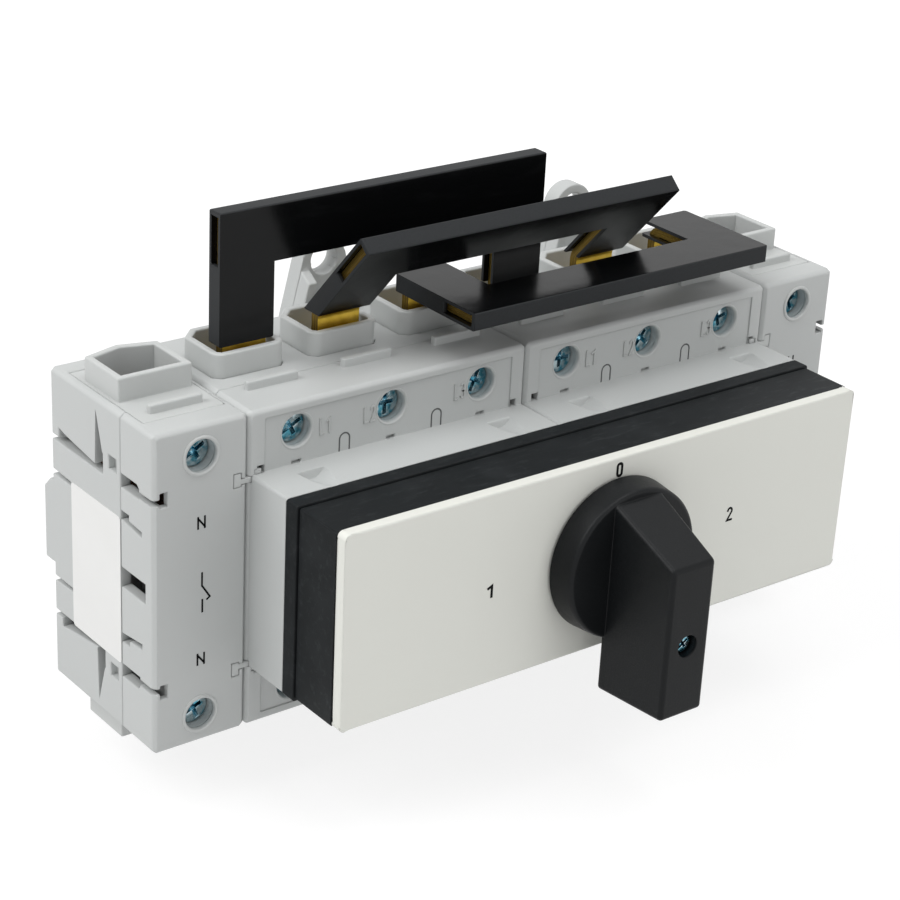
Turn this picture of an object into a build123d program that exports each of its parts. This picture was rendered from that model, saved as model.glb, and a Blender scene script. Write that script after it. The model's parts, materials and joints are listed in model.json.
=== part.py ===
from build123d import *

import os
from dataclasses import dataclass
from math import acos, cos, pi, radians, sin, sqrt, tan

# Manual transfer switch: two three-pole switch blocks side by side, a neutral pole at each end,
# three bridging bars across the upper terminals, and one rotary handle that drives both blocks
# through a common, mechanically interlocked slide.
#
# Frame, in millimetres: X to the right along the mounting rail, Y back towards the panel and
# Z up. The origin is the centre of the panel plane. A "depth" is a distance in front of that
# plane, so a point at depth d has y = -d. A "back" is a distance behind the blocks' front face.

# Fits
MODULE_GAP = 0.1
FIT = 0.1
JOURNAL_FIT = 0.05
RUNNING_GAP = 0.3

# Blocks
POLE_PITCH = 24.0
POLE_COUNT = 3
NEUTRAL_WIDTH = 22.4
BODY_HEIGHT = 73.2
BODY_DEPTH = 45.2
RAIL_FACE_DEPTH = 3.9
SEAM_BACK = 13.0
WALL = 1.8
OUTER_WALL = 2.6
PARTITION = 1.6
EDGE_CHAMFER = 0.9
FRONT_CHAMFER = 0.8

# Rear of the blocks: standing pad, rail hook, rail latch and fixing ears
PAD_HEIGHT = 18.4
PAD_CHAMFER = 2.6
RAIL_HEIGHT = 35.0
RAIL_THICKNESS = 1.0
RAIL_GRIP = 1.3
HOOK_WIDTH = 16.0
HOOK_HEIGHT = 4.0
LATCH_OFFSET = -12.0
LATCH_WIDTH = 14.0
LATCH_NECK_WIDTH = 11.0
LATCH_LIP = 1.2
LATCH_RAIL_WALL = 2.0
LATCH_RAIL_LENGTH = 16.0
LATCH_TAB_LENGTH = 8.0
LATCH_SLOT_WIDTH = 6.0
LATCH_SLOT_HEIGHT = 2.2
LATCH_TRAVEL = 3.0
EAR_OFFSET = 10.0
EAR_SPACING = 96.0
EAR_RADIUS = 5.7
EAR_HOLE_RADIUS = 3.5
EAR_FOOT_WIDTH = 19.2
EAR_FOOT_OVERLAP = 4.0
EAR_THICKNESS = 4.4
EAR_RIB_WIDTH = 2.3
EAR_RIB_DEPTH = 8.3
EAR_RIB_RISE = 7.8
EAR_RIB_SLOPE = 1.8

# Front details of the blocks
SCREW_SPACING = 59.6
SCREW_HOLE_RADIUS = 3.7
GUIDE_WALL = 1.3
GUIDE_LENGTH = 10.0
RIDGE_WIDTH = 12.5
RIDGE_THICKNESS = 1.5
RIDGE_HEIGHT = 1.9
RIDGE_BACK = 10.2
ESCUTCHEON_HEIGHT = 45.0
ESCUTCHEON_DEPTH = 12.8
ESCUTCHEON_INSET = 0.6
ESCUTCHEON_WALL = 2.5
ESCUTCHEON_CHAMFER = 0.6
MARKING_WIDTH = 64.0
MARKING_MARGIN = 2.2
MARKING_RECESS = 0.3
TICK_WIDTH = 2.2
TICK_HEIGHT = 0.6
TICK_DEPTH = 1.0
NOTCH_SIZE = 1.6
NOTCH_SPACING = 65.8
SCOOP_SPACING = 49.1
SCOOP_OFFSET = 1.05
SCOOP_WIDTH = 6.7
SCOOP_BACK_DEPTH = 1.9
SCOOP_START = 3.7

# Clips that join neighbouring blocks, and the windows that couple their contact carriers
CLIP_HEIGHT = 22.0
CLIP_BAR_HEIGHT = 3.0
CLIP_BAR_WIDTH = 1.7
CLIP_WEB_HEIGHT = 1.2
CLIP_REACH = 3.3
CLIP_DEPTH = 5.8
WINDOW_HEIGHT = 4.5
WINDOW_BACK = 3.4

# Sockets and shrouds
COLLAR_WIDTH = 17.4
COLLAR_FRONT_BACK = 17.6
COLLAR_LENGTH = 16.0
COLLAR_WALL = 1.6
COLLAR_HEIGHT = 5.3
COLLAR_RADIUS = 2.6
COLLAR_CHAMFER = 3.4
NEUTRAL_COLLAR_LENGTH = 13.8
NEUTRAL_COLLAR_PEAK = 2.4
SHROUD_PLATE = 1.2
SHROUD_MARGIN = 1.8
PANEL_MARGIN = 1.65
PANEL_FRONT_BACK = 6.6
PANEL_REAR_BACK = 36.5

# Terminals
CAGE_WIDTH = 14.2
CAGE_LENGTH = 16.5
CAGE_HEIGHT = 8.4
CAGE_WALL = 1.5
CAGE_FRONT_BACK = 16.5
SCREW_RADIUS = 3.5
SCREW_RECESS = 3.6
STRAP_THICKNESS = 1.5
STRAP_WIDTH = 8.6
STRAP_FOOT = 20.5
ARM_LOW = 12.0
ARM_FRONT_BACK = 13.5
ARM_TAIL = 4.0
TIP_SIZE = 4.4
TIP_THICKNESS = 0.7
TIP_BACK = 16.6
TIP_HEIGHT = 16.3

# Moving contacts and their carriers
CARRIER_HEIGHT = 3.9
CARRIER_FRONT_BACK = 4.2
CARRIER_LENGTH = 7.6
YOKE_HEIGHT = 10.0
YOKE_WALL = 1.3
BLADE_THICKNESS = 1.6
BLADE_FRONT_BACK = 13.5
BLADE_LENGTH = 6.2
BLADE_HEIGHT = 38.4
PEG_BOSS_WIDTH = 9.0
PEG_RADIUS = 2.5
PEG_BITE = 4.0
PLUG_HEIGHT = 2.4
PLUG_LENGTH = 4.4
PLUG_BITE = 3.0

# Mechanism housing and front plate
FRAME_DEPTH = 4.0
FRAME_PLATE = 1.8
COVER_DEPTH = 12.9
COVER_INSET = 0.5
MECHANISM_WALL = 1.8
MECHANISM_CHAMFER = 0.4
PLATE_DEPTH = 2.75
PLATE_MARGIN = 0.75
PLATE_HEIGHT = 44.7
PLATE_CORNER_RADIUS = 1.4
PLATE_HOLE_RADIUS = 7.0

# Drive: a shaft with a pinion and a detent cam, and the slide with its rack
TOOTH_MODULE = 0.7
PINION_TEETH = 10
PRESSURE_ANGLE = 25.0
ADDENDUM = 0.8
DEDENDUM = 1.0
BACKLASH = 0.16
RACK_TEETH = 9
SLIDE_HEIGHT = 7.0
SLIDE_THICKNESS = 5.4
SLIDE_END_WIDTH = 10.0
SLIDE_END_DROP = 4.5
TAIL_RADIUS = 2.4
JOURNAL_RADIUS = 4.3
SHAFT_SQUARE = 6.0
CAM_RADIUS = 8.0
CAM_THICKNESS = 3.0
CAM_NOTCH_RADIUS = 1.6
DETENT_STRIP = 0.5
DETENT_SPAN = 26.0
DETENT_POST = 3.0
DETENT_NOSE = 1.5

# Handle
KNOB_GAP = 0.4
KNOB_RADIUS = 17.6
KNOB_RIM_RADIUS = 17.0
KNOB_DISC_DEPTH = 6.6
KNOB_EDGE_CHAMFER = 0.8
GRIP_SET_BACK = 1.4
GRIP_ROOT_WIDTH = 13.2
GRIP_FRONT_WIDTH = 10.8
GRIP_REACH = 18.5
GRIP_TOP = 15.6
GRIP_FRONT_TOP = 7.7
GRIP_BOTTOM = 29.0
GRIP_FRONT_BOTTOM = 27.9
GRIP_EDGE_CHAMFER = 0.7
KNOB_BORE_DEPTH = 14.0
KNOB_SCREW_DROP = 11.2
KNOB_SCREW_HOLE = 2.5
KNOB_SCREW_RADIUS = 2.2
KNOB_SCREW_RECESS = 1.6
KNOB_SCREW_HEAD = 2.4
KNOB_SCREW_SHANK = 1.4
KNOB_SCREW_LENGTH = 12.0

# Bridging bars: laminated brass in a moulded sheath
BRIDGE_LEG_WIDTH = 13.4
BRIDGE_BEAM_HEIGHT = 12.5
BRIDGE_THICKNESS = 4.1
BRIDGE_WALL = 1.2
BRIDGE_SLOT = 2.6
BRIDGE_BACK = 21.8
BRIDGE_WINDOW_START = 15.4
SHEET_COUNT = 3
SHEET_THICKNESS = 0.74
SHEET_GAP = 0.06
SHEET_INSET = 0.3
FLAG_WIDTH = 10.8
FLAG_END = 26.6
FLAG_BEND_RADIUS = 3.0

# Rating label, left bare
LABEL_WIDTH = 20.2
LABEL_HEIGHT = 34.0
LABEL_CENTRE = -3.6
LABEL_THICKNESS = 0.15

# Worked out from the sizes above
SWITCH_WIDTH = POLE_COUNT * POLE_PITCH
HALF_HEIGHT = BODY_HEIGHT / 2
CEILING = HALF_HEIGHT - WALL
SEAM_DEPTH = BODY_DEPTH - SEAM_BACK
REAR_BACK = BODY_DEPTH - RAIL_FACE_DEPTH
SCREW_HEIGHT = SCREW_SPACING / 2
EAR_HEIGHT = EAR_SPACING / 2
PITCH_RADIUS = TOOTH_MODULE * PINION_TEETH / 2
SLIDE_TRAVEL = PITCH_RADIUS * pi / 2
ESCUTCHEON_FRONT = BODY_DEPTH + ESCUTCHEON_DEPTH
FRAME_FRONT = ESCUTCHEON_FRONT + FRAME_DEPTH
COVER_FRONT = FRAME_FRONT + FIT + COVER_DEPTH
PLATE_FRONT = COVER_FRONT + PLATE_DEPTH
KNOB_BACK = PLATE_FRONT + KNOB_GAP
DISC_FRONT = KNOB_BACK + KNOB_DISC_DEPTH
GRIP_BACK = DISC_FRONT - GRIP_SET_BACK
GRIP_FRONT = DISC_FRONT + GRIP_REACH
SLIDE_BACK = ESCUTCHEON_FRONT + FRAME_PLATE + RUNNING_GAP
SLIDE_FRONT = SLIDE_BACK + SLIDE_THICKNESS
SLIDE_LOW = PITCH_RADIUS + DEDENDUM * TOOTH_MODULE
CAM_BACK = SLIDE_FRONT + 2 * RUNNING_GAP
CARRIER_FRONT = BODY_DEPTH - CARRIER_FRONT_BACK
CARRIER_BACK = CARRIER_FRONT - CARRIER_LENGTH
BLADE_FRONT = BODY_DEPTH - BLADE_FRONT_BACK
BLADE_BACK = BLADE_FRONT - BLADE_LENGTH
CAGE_FRONT = BODY_DEPTH - CAGE_FRONT_BACK
CAGE_BACK = CAGE_FRONT - CAGE_LENGTH
CAGE_TOP = CEILING - FIT - SHROUD_PLATE - RUNNING_GAP
CAGE_CENTRE = CAGE_TOP - CAGE_HEIGHT / 2
STRAP_BACK = CAGE_BACK + CAGE_WALL + FIT
COLLAR_FRONT = BODY_DEPTH - COLLAR_FRONT_BACK
BRIDGE_DEPTH = BODY_DEPTH - BRIDGE_BACK
STACK = SHEET_COUNT * SHEET_THICKNESS + (SHEET_COUNT - 1) * SHEET_GAP


@dataclass
class Block:
    """One moulded switch block: where it stands, its poles, and the side its contacts close to."""

    name: str
    centre: float
    width: float
    poles: tuple
    closing: int
    neutral: bool

    @property
    def half_width(self):
        return (self.width - MODULE_GAP) / 2

    def wall(self, side):
        """The side wall is thicker where an end block faces outwards."""
        return OUTER_WALL if self.neutral and side == self.closing else WALL

    def inner_face(self, side):
        return self.centre + side * (self.half_width - self.wall(side))

    def reach(self):
        """From a pole's centre to the outer face of its fixed contacts' arms."""
        if self.neutral:
            return self.half_width - OUTER_WALL - FIT
        return (POLE_PITCH - MODULE_GAP) / 2 - WALL - FIT

    def blade_face(self, pole):
        """Where the blade's contact side stands at rest, midway through the slide's travel."""
        gap = STRAP_THICKNESS + 2 * TIP_THICKNESS + RUNNING_GAP + SLIDE_TRAVEL
        return pole + self.closing * (self.reach() - gap)


def pole_positions(centre, count):
    return tuple(centre + POLE_PITCH * (i - (count - 1) / 2) for i in range(count))


def make_blocks():
    blocks = []
    for side, name in ((-1, "left"), (1, "right")):
        centre = side * SWITCH_WIDTH / 2
        poles = pole_positions(centre, POLE_COUNT)
        blocks.append(Block(f"{name}_switch", centre, SWITCH_WIDTH, poles, side, False))
        centre = side * (SWITCH_WIDTH + NEUTRAL_WIDTH / 2)
        poles = pole_positions(centre, 1)
        blocks.append(Block(f"{name}_neutral", centre, NEUTRAL_WIDTH, poles, side, True))
    return blocks


BLOCKS = make_blocks()
PIECES = {}


def keep(name, part):
    """Labels a finished piece and files it under its name."""
    part.label = name
    PIECES[name] = part


def front_plane(depth):
    """A sketch plane facing forwards: its x is X, its y is Z, and extruding goes forwards."""
    return Plane.XZ.offset(depth)


def side_plane(x):
    """A sketch plane across the rail: its x is Y, its y is Z."""
    return Plane.YZ.offset(x)


def block(x, depth, z, mode=Mode.ADD):
    """A straight block between two limits along each axis."""
    with Locations((sum(x) / 2, -sum(depth) / 2, sum(z) / 2)):
        Box(abs(x[1] - x[0]), abs(depth[1] - depth[0]), abs(z[1] - z[0]), mode=mode)


def mirrored_down(part):
    """The same piece for the lower end, mirrored in the middle plane."""
    with BuildPart() as lower:
        add(mirror(part, about=Plane.XY, mode=Mode.PRIVATE))
    return lower.part


# Side details of an end block: moulded slots, a thumb groove and the clip's locking window
def side_cut(outer_face, side, points, depth):
    """Cuts an outline of (back, height) points into a side wall, and its mirror image below."""
    start = side_plane(outer_face + side * RUNNING_GAP)
    for sign in (1, -1):
        with BuildSketch(start) as outline:
            Polygon(*[(back - BODY_DEPTH, sign * height) for back, height in points], align=None)
        extrude(outline.sketch, amount=-side * (depth + RUNNING_GAP), mode=Mode.SUBTRACT)


SLOT_LOW = 20.4
SLOT_MOUTH = 21.5
GROOVE_BACK = SEAM_BACK + 7.1
THUMB_SLOT = (
    (REAR_BACK + 1, SLOT_LOW),
    (GROOVE_BACK, SLOT_LOW),
    (GROOVE_BACK, 25.0),
    (GROOVE_BACK + 2.6, 34.0),
    (GROOVE_BACK + 3.1, 21.4),
    (REAR_BACK - 5.8, 23.0),
    (REAR_BACK - 2.9, 23.6),
    (REAR_BACK - 2.9, SLOT_MOUTH),
    (REAR_BACK + 1, SLOT_MOUTH),
)
TAB_SLIT = ((REAR_BACK + 1, 12.2), (REAR_BACK - 7.6, 12.2), (REAR_BACK - 7.6, 13.0), (REAR_BACK + 1, 13.4))
POCKET_SIZE = 3.1
POCKET_FRONT = SEAM_BACK + 1.6
SQUARE_POCKET = (
    (POCKET_FRONT, 22.6),
    (POCKET_FRONT + POCKET_SIZE, 22.6),
    (POCKET_FRONT + POCKET_SIZE, 22.6 + POCKET_SIZE),
    (POCKET_FRONT, 22.6 + POCKET_SIZE),
)
HOOK_SLOT = (
    (SEAM_BACK + 1, 13.4),
    (SEAM_BACK + 1, 15.2),
    (SEAM_BACK - 3.2, 15.2),
    (SEAM_BACK - 3.2, 13.9),
    (SEAM_BACK - 8.2, 13.5),
    (SEAM_BACK - 8.2, 12.3),
)
POCKET_DEPTH = 1.6


def housing_core(item, depth):
    """The outside of a block between two depths, with broken edges along its depth."""
    with BuildSketch(front_plane(depth[0])) as outline:
        with Locations((item.centre, 0)):
            Rectangle(2 * item.half_width, BODY_HEIGHT)
        chamfer(outline.vertices(), EDGE_CHAMFER)
    extrude(outline.sketch, amount=depth[1] - depth[0])


def housing_hollow(item, depth):
    """The inside of a block between two depths."""
    left, right = item.inner_face(-1), item.inner_face(1)
    block((left, right), depth, (-CEILING, CEILING), mode=Mode.SUBTRACT)


def partitions(item, depth):
    """Barriers between the poles, low enough to pass under the shrouds."""
    height = CAGE_TOP
    for left, right in zip(item.poles, item.poles[1:]):
        middle = (left + right) / 2
        limits = (middle - PARTITION / 2, middle + PARTITION / 2)
        block(limits, depth, (-height, height))


def collar_outline(item, grow=0.0):
    """A socket collar seen from above, its front edge through the origin. Its y is Y.

    Grown for an opening or shrunk for the bore, it has chamfers that just clear the rounding.
    """
    half = COLLAR_WIDTH / 2
    with BuildSketch() as outline:
        if item.neutral:
            with BuildLine():
                Polyline(
                    (-half, 0),
                    (half, 0),
                    (half, NEUTRAL_COLLAR_LENGTH),
                    (0, NEUTRAL_COLLAR_LENGTH + NEUTRAL_COLLAR_PEAK),
                    (-half, NEUTRAL_COLLAR_LENGTH),
                    close=True,
                )
            make_face()
        else:
            with Locations((0, COLLAR_LENGTH / 2)):
                Rectangle(COLLAR_WIDTH, COLLAR_LENGTH)
            chamfer(outline.vertices().group_by(Axis.Y)[-1], COLLAR_CHAMFER)
            front = outline.vertices().group_by(Axis.Y)[0]
            if grow:
                chamfer(front, (2 - sqrt(2)) * COLLAR_RADIUS)
            else:
                fillet(front, COLLAR_RADIUS)
        if grow:
            offset(amount=grow, kind=Kind.INTERSECTION)
    return outline.sketch


def panel_limits(item):
    """Plan outline of the separate top panel of an end block."""
    x = (item.centre - item.half_width + PANEL_MARGIN, item.centre + item.half_width - PANEL_MARGIN)
    return x, (BODY_DEPTH - PANEL_REAR_BACK, BODY_DEPTH - PANEL_FRONT_BACK)


def shroud_openings(item):
    """Openings in the top and bottom walls for the shrouds."""
    for sign in (1, -1):
        if item.neutral:
            x, depth = panel_limits(item)
            x = (x[0] - FIT, x[1] + FIT)
            depth = (depth[0] - FIT, depth[1] + FIT)
            block(x, depth, (sign * CEILING, sign * (HALF_HEIGHT + WALL)), mode=Mode.SUBTRACT)
        else:
            opening = collar_outline(item, FIT)
            with BuildSketch(Plane.XY.offset(sign * (CEILING - WALL))) as outline:
                with Locations(*[(pole, -COLLAR_FRONT) for pole in item.poles]):
                    add(opening)
            extrude(outline.sketch, amount=sign * 3 * WALL, mode=Mode.SUBTRACT)


def rear_pad(item):
    """The pad that stands against the panel, chamfered along its top."""
    half = PAD_HEIGHT / 2
    with BuildSketch(side_plane(item.centre - item.half_width)) as outline:
        with BuildLine():
            Polyline(
                (-RAIL_FACE_DEPTH - FIT, -half),
                (0, -half),
                (0, half - PAD_CHAMFER / 2),
                (-PAD_CHAMFER, half + PAD_CHAMFER / 2),
                (-RAIL_FACE_DEPTH - FIT, half + PAD_CHAMFER / 2),
                close=True,
            )
        make_face()
    extrude(outline.sketch, amount=2 * item.half_width)


def terminal_seats(item):
    """Ribs on the rear wall that carry the terminal cages."""
    floor = RAIL_FACE_DEPTH + WALL
    for pole in item.poles:
        for sign in (1, -1):
            x = (pole - STRAP_WIDTH / 2, pole + STRAP_WIDTH / 2)
            block(x, (floor - FIT, CAGE_BACK - FIT), (sign * STRAP_FOOT, sign * CAGE_TOP))


def fixing_ear(item, sign):
    """A flared ear with its hole and two ribs, standing above (or below) the block."""
    x = item.centre + EAR_OFFSET
    foot = HALF_HEIGHT - EAR_FOOT_OVERLAP
    with BuildSketch(front_plane(0)) as ear:
        with BuildSketch(mode=Mode.PRIVATE) as outline:
            with Locations((x, sign * EAR_HEIGHT)):
                Circle(EAR_RADIUS)
            with Locations((x, sign * foot)):
                Rectangle(EAR_FOOT_WIDTH, FIT)
        make_hull(outline.edges())
    extrude(ear.sketch, amount=EAR_THICKNESS)
    flare = (EAR_FOOT_WIDTH / 2 - EAR_RADIUS) / (EAR_HEIGHT - foot)
    rib_top = HALF_HEIGHT + EAR_RIB_RISE + EAR_RIB_SLOPE

    def flank(height):
        return EAR_FOOT_WIDTH / 2 - flare * (height - foot)

    for side in (1, -1):
        with BuildSketch(front_plane(0)) as outline:
            with BuildLine():
                Polyline(
                    (x + side * flank(foot), sign * foot),
                    (x + side * flank(rib_top), sign * rib_top),
                    (x + side * (flank(rib_top) - EAR_RIB_WIDTH), sign * rib_top),
                    (x + side * (flank(foot) - EAR_RIB_WIDTH), sign * foot),
                    close=True,
                )
            make_face()
        extrude(outline.sketch, amount=EAR_RIB_DEPTH)
    with BuildSketch(side_plane(x - EAR_FOOT_WIDTH / 2)) as outline:
        with BuildLine():
            Polyline(
                (-EAR_THICKNESS, sign * rib_top),
                (-EAR_RIB_DEPTH - FIT, sign * (rib_top - EAR_RIB_SLOPE)),
                (-EAR_RIB_DEPTH - FIT, sign * (rib_top + FIT)),
                (-EAR_THICKNESS, sign * (rib_top + FIT)),
                close=True,
            )
        make_face()
    extrude(outline.sketch, amount=EAR_FOOT_WIDTH, mode=Mode.SUBTRACT)
    with Locations(Plane((x, 0, sign * EAR_HEIGHT), z_dir=(0, -1, 0))):
        Cylinder(EAR_HOLE_RADIUS, 4 * EAR_THICKNESS, mode=Mode.SUBTRACT)


def rail_grips(item):
    """The fixed hook over the rail's upper edge, and the guide rails of the latch below."""
    x = item.centre + LATCH_OFFSET
    edge = RAIL_HEIGHT / 2 + FIT
    lip = RAIL_FACE_DEPTH - RAIL_THICKNESS - RUNNING_GAP
    with BuildSketch(side_plane(x - HOOK_WIDTH / 2)) as outline:
        with BuildLine():
            Polyline(
                (-RAIL_FACE_DEPTH - FIT, edge),
                (-lip, edge),
                (-lip, edge - RAIL_GRIP),
                (-lip / 2, edge - RAIL_GRIP),
                (0, edge),
                (0, edge + HOOK_HEIGHT),
                (-RAIL_FACE_DEPTH - FIT, edge + HOOK_HEIGHT),
                close=True,
            )
        make_face()
    extrude(outline.sketch, amount=HOOK_WIDTH)
    inner = LATCH_WIDTH / 2 + RUNNING_GAP
    neck = LATCH_NECK_WIDTH / 2 + RUNNING_GAP
    low = -HALF_HEIGHT + EDGE_CHAMFER
    for side in (1, -1):
        with BuildSketch(Plane.XY.offset(low)) as outline:
            with BuildLine():
                Polyline(
                    (x + side * inner, -RAIL_FACE_DEPTH - FIT),
                    (x + side * (inner + LATCH_RAIL_WALL), -RAIL_FACE_DEPTH - FIT),
                    (x + side * (inner + LATCH_RAIL_WALL), 0),
                    (x + side * neck, 0),
                    (x + side * neck, -LATCH_LIP),
                    (x + side * inner, -LATCH_LIP),
                    close=True,
                )
            make_face()
        extrude(outline.sketch, amount=LATCH_RAIL_LENGTH)


def make_base(item):
    """The rear half of a block, open at the front."""
    with BuildPart() as base:
        housing_core(item, (RAIL_FACE_DEPTH, SEAM_DEPTH))
        housing_hollow(item, (RAIL_FACE_DEPTH + WALL, SEAM_DEPTH))
        shroud_openings(item)
        rear_pad(item)
        partitions(item, (RAIL_FACE_DEPTH + WALL / 2, SEAM_DEPTH))
        terminal_seats(item)
        if item.neutral:
            face = item.centre + item.closing * item.half_width
            side_cut(face, item.closing, THUMB_SLOT, OUTER_WALL)
            side_cut(face, item.closing, TAB_SLIT, OUTER_WALL)
            side_cut(face, item.closing, SQUARE_POCKET, POCKET_DEPTH)
        else:
            rail_grips(item)
            for sign in (1, -1):
                fixing_ear(item, sign)
    return base.part


def screw_guides(item):
    """Square towers under the front, bored to guide the terminal screws."""
    floor = BODY_DEPTH - WALL
    half = SCREW_HOLE_RADIUS + GUIDE_WALL
    for pole in item.poles:
        for sign in (1, -1):
            depth = (floor - GUIDE_LENGTH, floor + FIT)
            block((pole - half, pole + half), depth, (sign * (SCREW_HEIGHT - half), sign * CEILING))
            with BuildSketch(front_plane(floor - GUIDE_LENGTH - FIT)) as outline:
                with Locations((pole, sign * SCREW_HEIGHT)):
                    Circle(SCREW_HOLE_RADIUS)
            extrude(outline.sketch, amount=GUIDE_LENGTH + 2 * WALL, mode=Mode.SUBTRACT)


def front_markings(item):
    """Recessed marking fields, vent slits and corner notches of a switch block."""
    low = ESCUTCHEON_HEIGHT / 2
    high = HALF_HEIGHT - MARKING_MARGIN
    floor = BODY_DEPTH - MARKING_RECESS
    for sign in (1, -1):
        x = (item.centre - MARKING_WIDTH / 2, item.centre + MARKING_WIDTH / 2)
        block(x, (floor, BODY_DEPTH + FIT), (sign * low, sign * high), mode=Mode.SUBTRACT)
        for pole in item.poles:
            x = (pole - TICK_WIDTH / 2, pole + TICK_WIDTH / 2)
            z = (sign * low, sign * (low + TICK_HEIGHT))
            block(x, (floor - TICK_DEPTH, BODY_DEPTH), z, mode=Mode.SUBTRACT)
        for side in (1, -1):
            middle = item.centre + side * NOTCH_SPACING / 2
            x = (middle - NOTCH_SIZE / 2, middle + NOTCH_SIZE / 2)
            z = (sign * low, sign * (low + NOTCH_SIZE))
            block(x, (BODY_DEPTH - WALL - FIT, BODY_DEPTH + FIT), z, mode=Mode.SUBTRACT)


def clip_outline(x, sign, grow=0.0):
    """Dog-bone section of a joining clip astride the joint at x."""
    middle = sign * CLIP_HEIGHT
    with Locations((x, middle - sign * (CLIP_BAR_HEIGHT - CLIP_WEB_HEIGHT) / 4)):
        Rectangle(2 * CLIP_REACH - CLIP_BAR_WIDTH, CLIP_WEB_HEIGHT + 2 * grow)
    offset_x = CLIP_REACH - CLIP_BAR_WIDTH / 2
    with Locations((x - offset_x, middle), (x + offset_x, middle)):
        Rectangle(CLIP_BAR_WIDTH + 2 * grow, CLIP_BAR_HEIGHT + 2 * grow)


def clip_pockets(item):
    """Pockets for the joining clips at the block's outer joints, open to the front."""
    sides = (-1, 1) if item.neutral else (item.closing,)
    for side in sides:
        joint = item.centre + side * item.width / 2
        for sign in (1, -1):
            with BuildSketch(front_plane(BODY_DEPTH - CLIP_DEPTH)) as outline:
                clip_outline(joint, sign, FIT)
            extrude(outline.sketch, amount=CLIP_DEPTH + FIT, mode=Mode.SUBTRACT)


def coupling_windows(item):
    """Windows in the side walls and partitions for the coupled contact carriers."""
    x = (item.centre - item.half_width - 1, item.centre + item.half_width + 1)
    depth = (SEAM_DEPTH, BODY_DEPTH - WINDOW_BACK)
    block(x, depth, (-WINDOW_HEIGHT / 2, WINDOW_HEIGHT / 2), mode=Mode.SUBTRACT)


def top_ridges(item):
    """Finger ridges across the top and bottom of a switch block's cover."""
    for pole in item.poles:
        for sign in (1, -1):
            x = (pole - RIDGE_WIDTH / 2, pole + RIDGE_WIDTH / 2)
            middle = BODY_DEPTH - RIDGE_BACK
            depth = (middle - RIDGE_THICKNESS / 2, middle + RIDGE_THICKNESS / 2)
            block(x, depth, (sign * (CEILING + FIT), sign * (HALF_HEIGHT + RIDGE_HEIGHT)))


def escutcheon_limits(item):
    outer = item.centre + item.closing * (item.half_width - ESCUTCHEON_INSET)
    inner = item.centre - item.closing * item.half_width
    return min(outer, inner), max(outer, inner)


def escutcheon_scoops(item):
    """Thumb scoops in the top and bottom of the escutcheon, deepest at the back."""
    half = SCOOP_WIDTH / 2
    radius = (half**2 + SCOOP_BACK_DEPTH**2) / (2 * SCOOP_BACK_DEPTH)
    run = ESCUTCHEON_DEPTH - SCOOP_START
    slope = SCOOP_BACK_DEPTH / run
    for side in (1, -1):
        x = item.centre + SCOOP_OFFSET + side * SCOOP_SPACING / 2
        for sign in (1, -1):
            surface = ESCUTCHEON_HEIGHT / 2
            start = (x, -BODY_DEPTH - SCOOP_START, sign * (surface + radius - SCOOP_BACK_DEPTH))
            with BuildSketch(Plane(start, x_dir=(1, 0, 0), z_dir=(0, -1, sign * slope))) as outline:
                Circle(radius)
            extrude(outline.sketch, amount=run * sqrt(1 + slope**2), mode=Mode.SUBTRACT)


def escutcheon(item):
    """A switch block's half of the escutcheon, hollow behind and slotted for the slide's peg."""
    left, right = escutcheon_limits(item)
    floor = BODY_DEPTH - WALL
    with BuildSketch(front_plane(floor)) as outline:
        with Locations(((left + right) / 2, 0)):
            Rectangle(right - left, ESCUTCHEON_HEIGHT)
        chamfer(outline.vertices(), ESCUTCHEON_CHAMFER)
    extrude(outline.sketch, amount=ESCUTCHEON_FRONT - floor)
    half = ESCUTCHEON_HEIGHT / 2 - ESCUTCHEON_WALL
    inner = (left + ESCUTCHEON_WALL, right - ESCUTCHEON_WALL)
    block(inner, (floor - FIT, ESCUTCHEON_FRONT - WALL), (-half, half), mode=Mode.SUBTRACT)
    peg_slot(item.centre, (ESCUTCHEON_FRONT - 2 * WALL, ESCUTCHEON_FRONT + FIT))


def make_cover(item):
    """The front half of a block; a switch block's carries its half of the escutcheon."""
    back = SEAM_DEPTH + FIT
    floor = BODY_DEPTH - WALL
    with BuildPart() as cover:
        housing_core(item, (back, BODY_DEPTH))
        front = cover.faces().sort_by(Axis.Y)[0]
        chamfer(front.edges(), FRONT_CHAMFER)
        housing_hollow(item, (back, floor))
        if item.neutral:
            shroud_openings(item)
        else:
            escutcheon(item)
            partitions(item, (back, floor + FIT))
            top_ridges(item)
            front_markings(item)
            escutcheon_scoops(item)
        screw_guides(item)
        clip_pockets(item)
        coupling_windows(item)
        if item.neutral:
            face = item.centre + item.closing * item.half_width
            side_cut(face, item.closing, clip_window(), OUTER_WALL)
            side_cut(face, item.closing, HOOK_SLOT, OUTER_WALL)
    return cover.part


def clip_window():
    """The window at the inner end of a clip's pocket, where the clip snaps in."""
    half = CLIP_BAR_HEIGHT / 2
    rear = BODY_DEPTH - SEAM_DEPTH + FIT
    return (
        (CLIP_DEPTH - FIT, CLIP_HEIGHT - half),
        (rear, CLIP_HEIGHT - half),
        (rear, CLIP_HEIGHT + half),
        (CLIP_DEPTH + half / 2, CLIP_HEIGHT + half),
        (CLIP_DEPTH - FIT, CLIP_HEIGHT + half / 2),
    )


def peg_slot(x, depth):
    """The slot that lets a peg of the slide travel both ways."""
    width = 2 * (SLIDE_TRAVEL + PEG_RADIUS + RUNNING_GAP)
    with BuildSketch(front_plane(depth[0])) as outline:
        with Locations((x, 0)):
            SlotOverall(width, 2 * (PEG_RADIUS + RUNNING_GAP))
    extrude(outline.sketch, amount=depth[1] - depth[0], mode=Mode.SUBTRACT)


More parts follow.
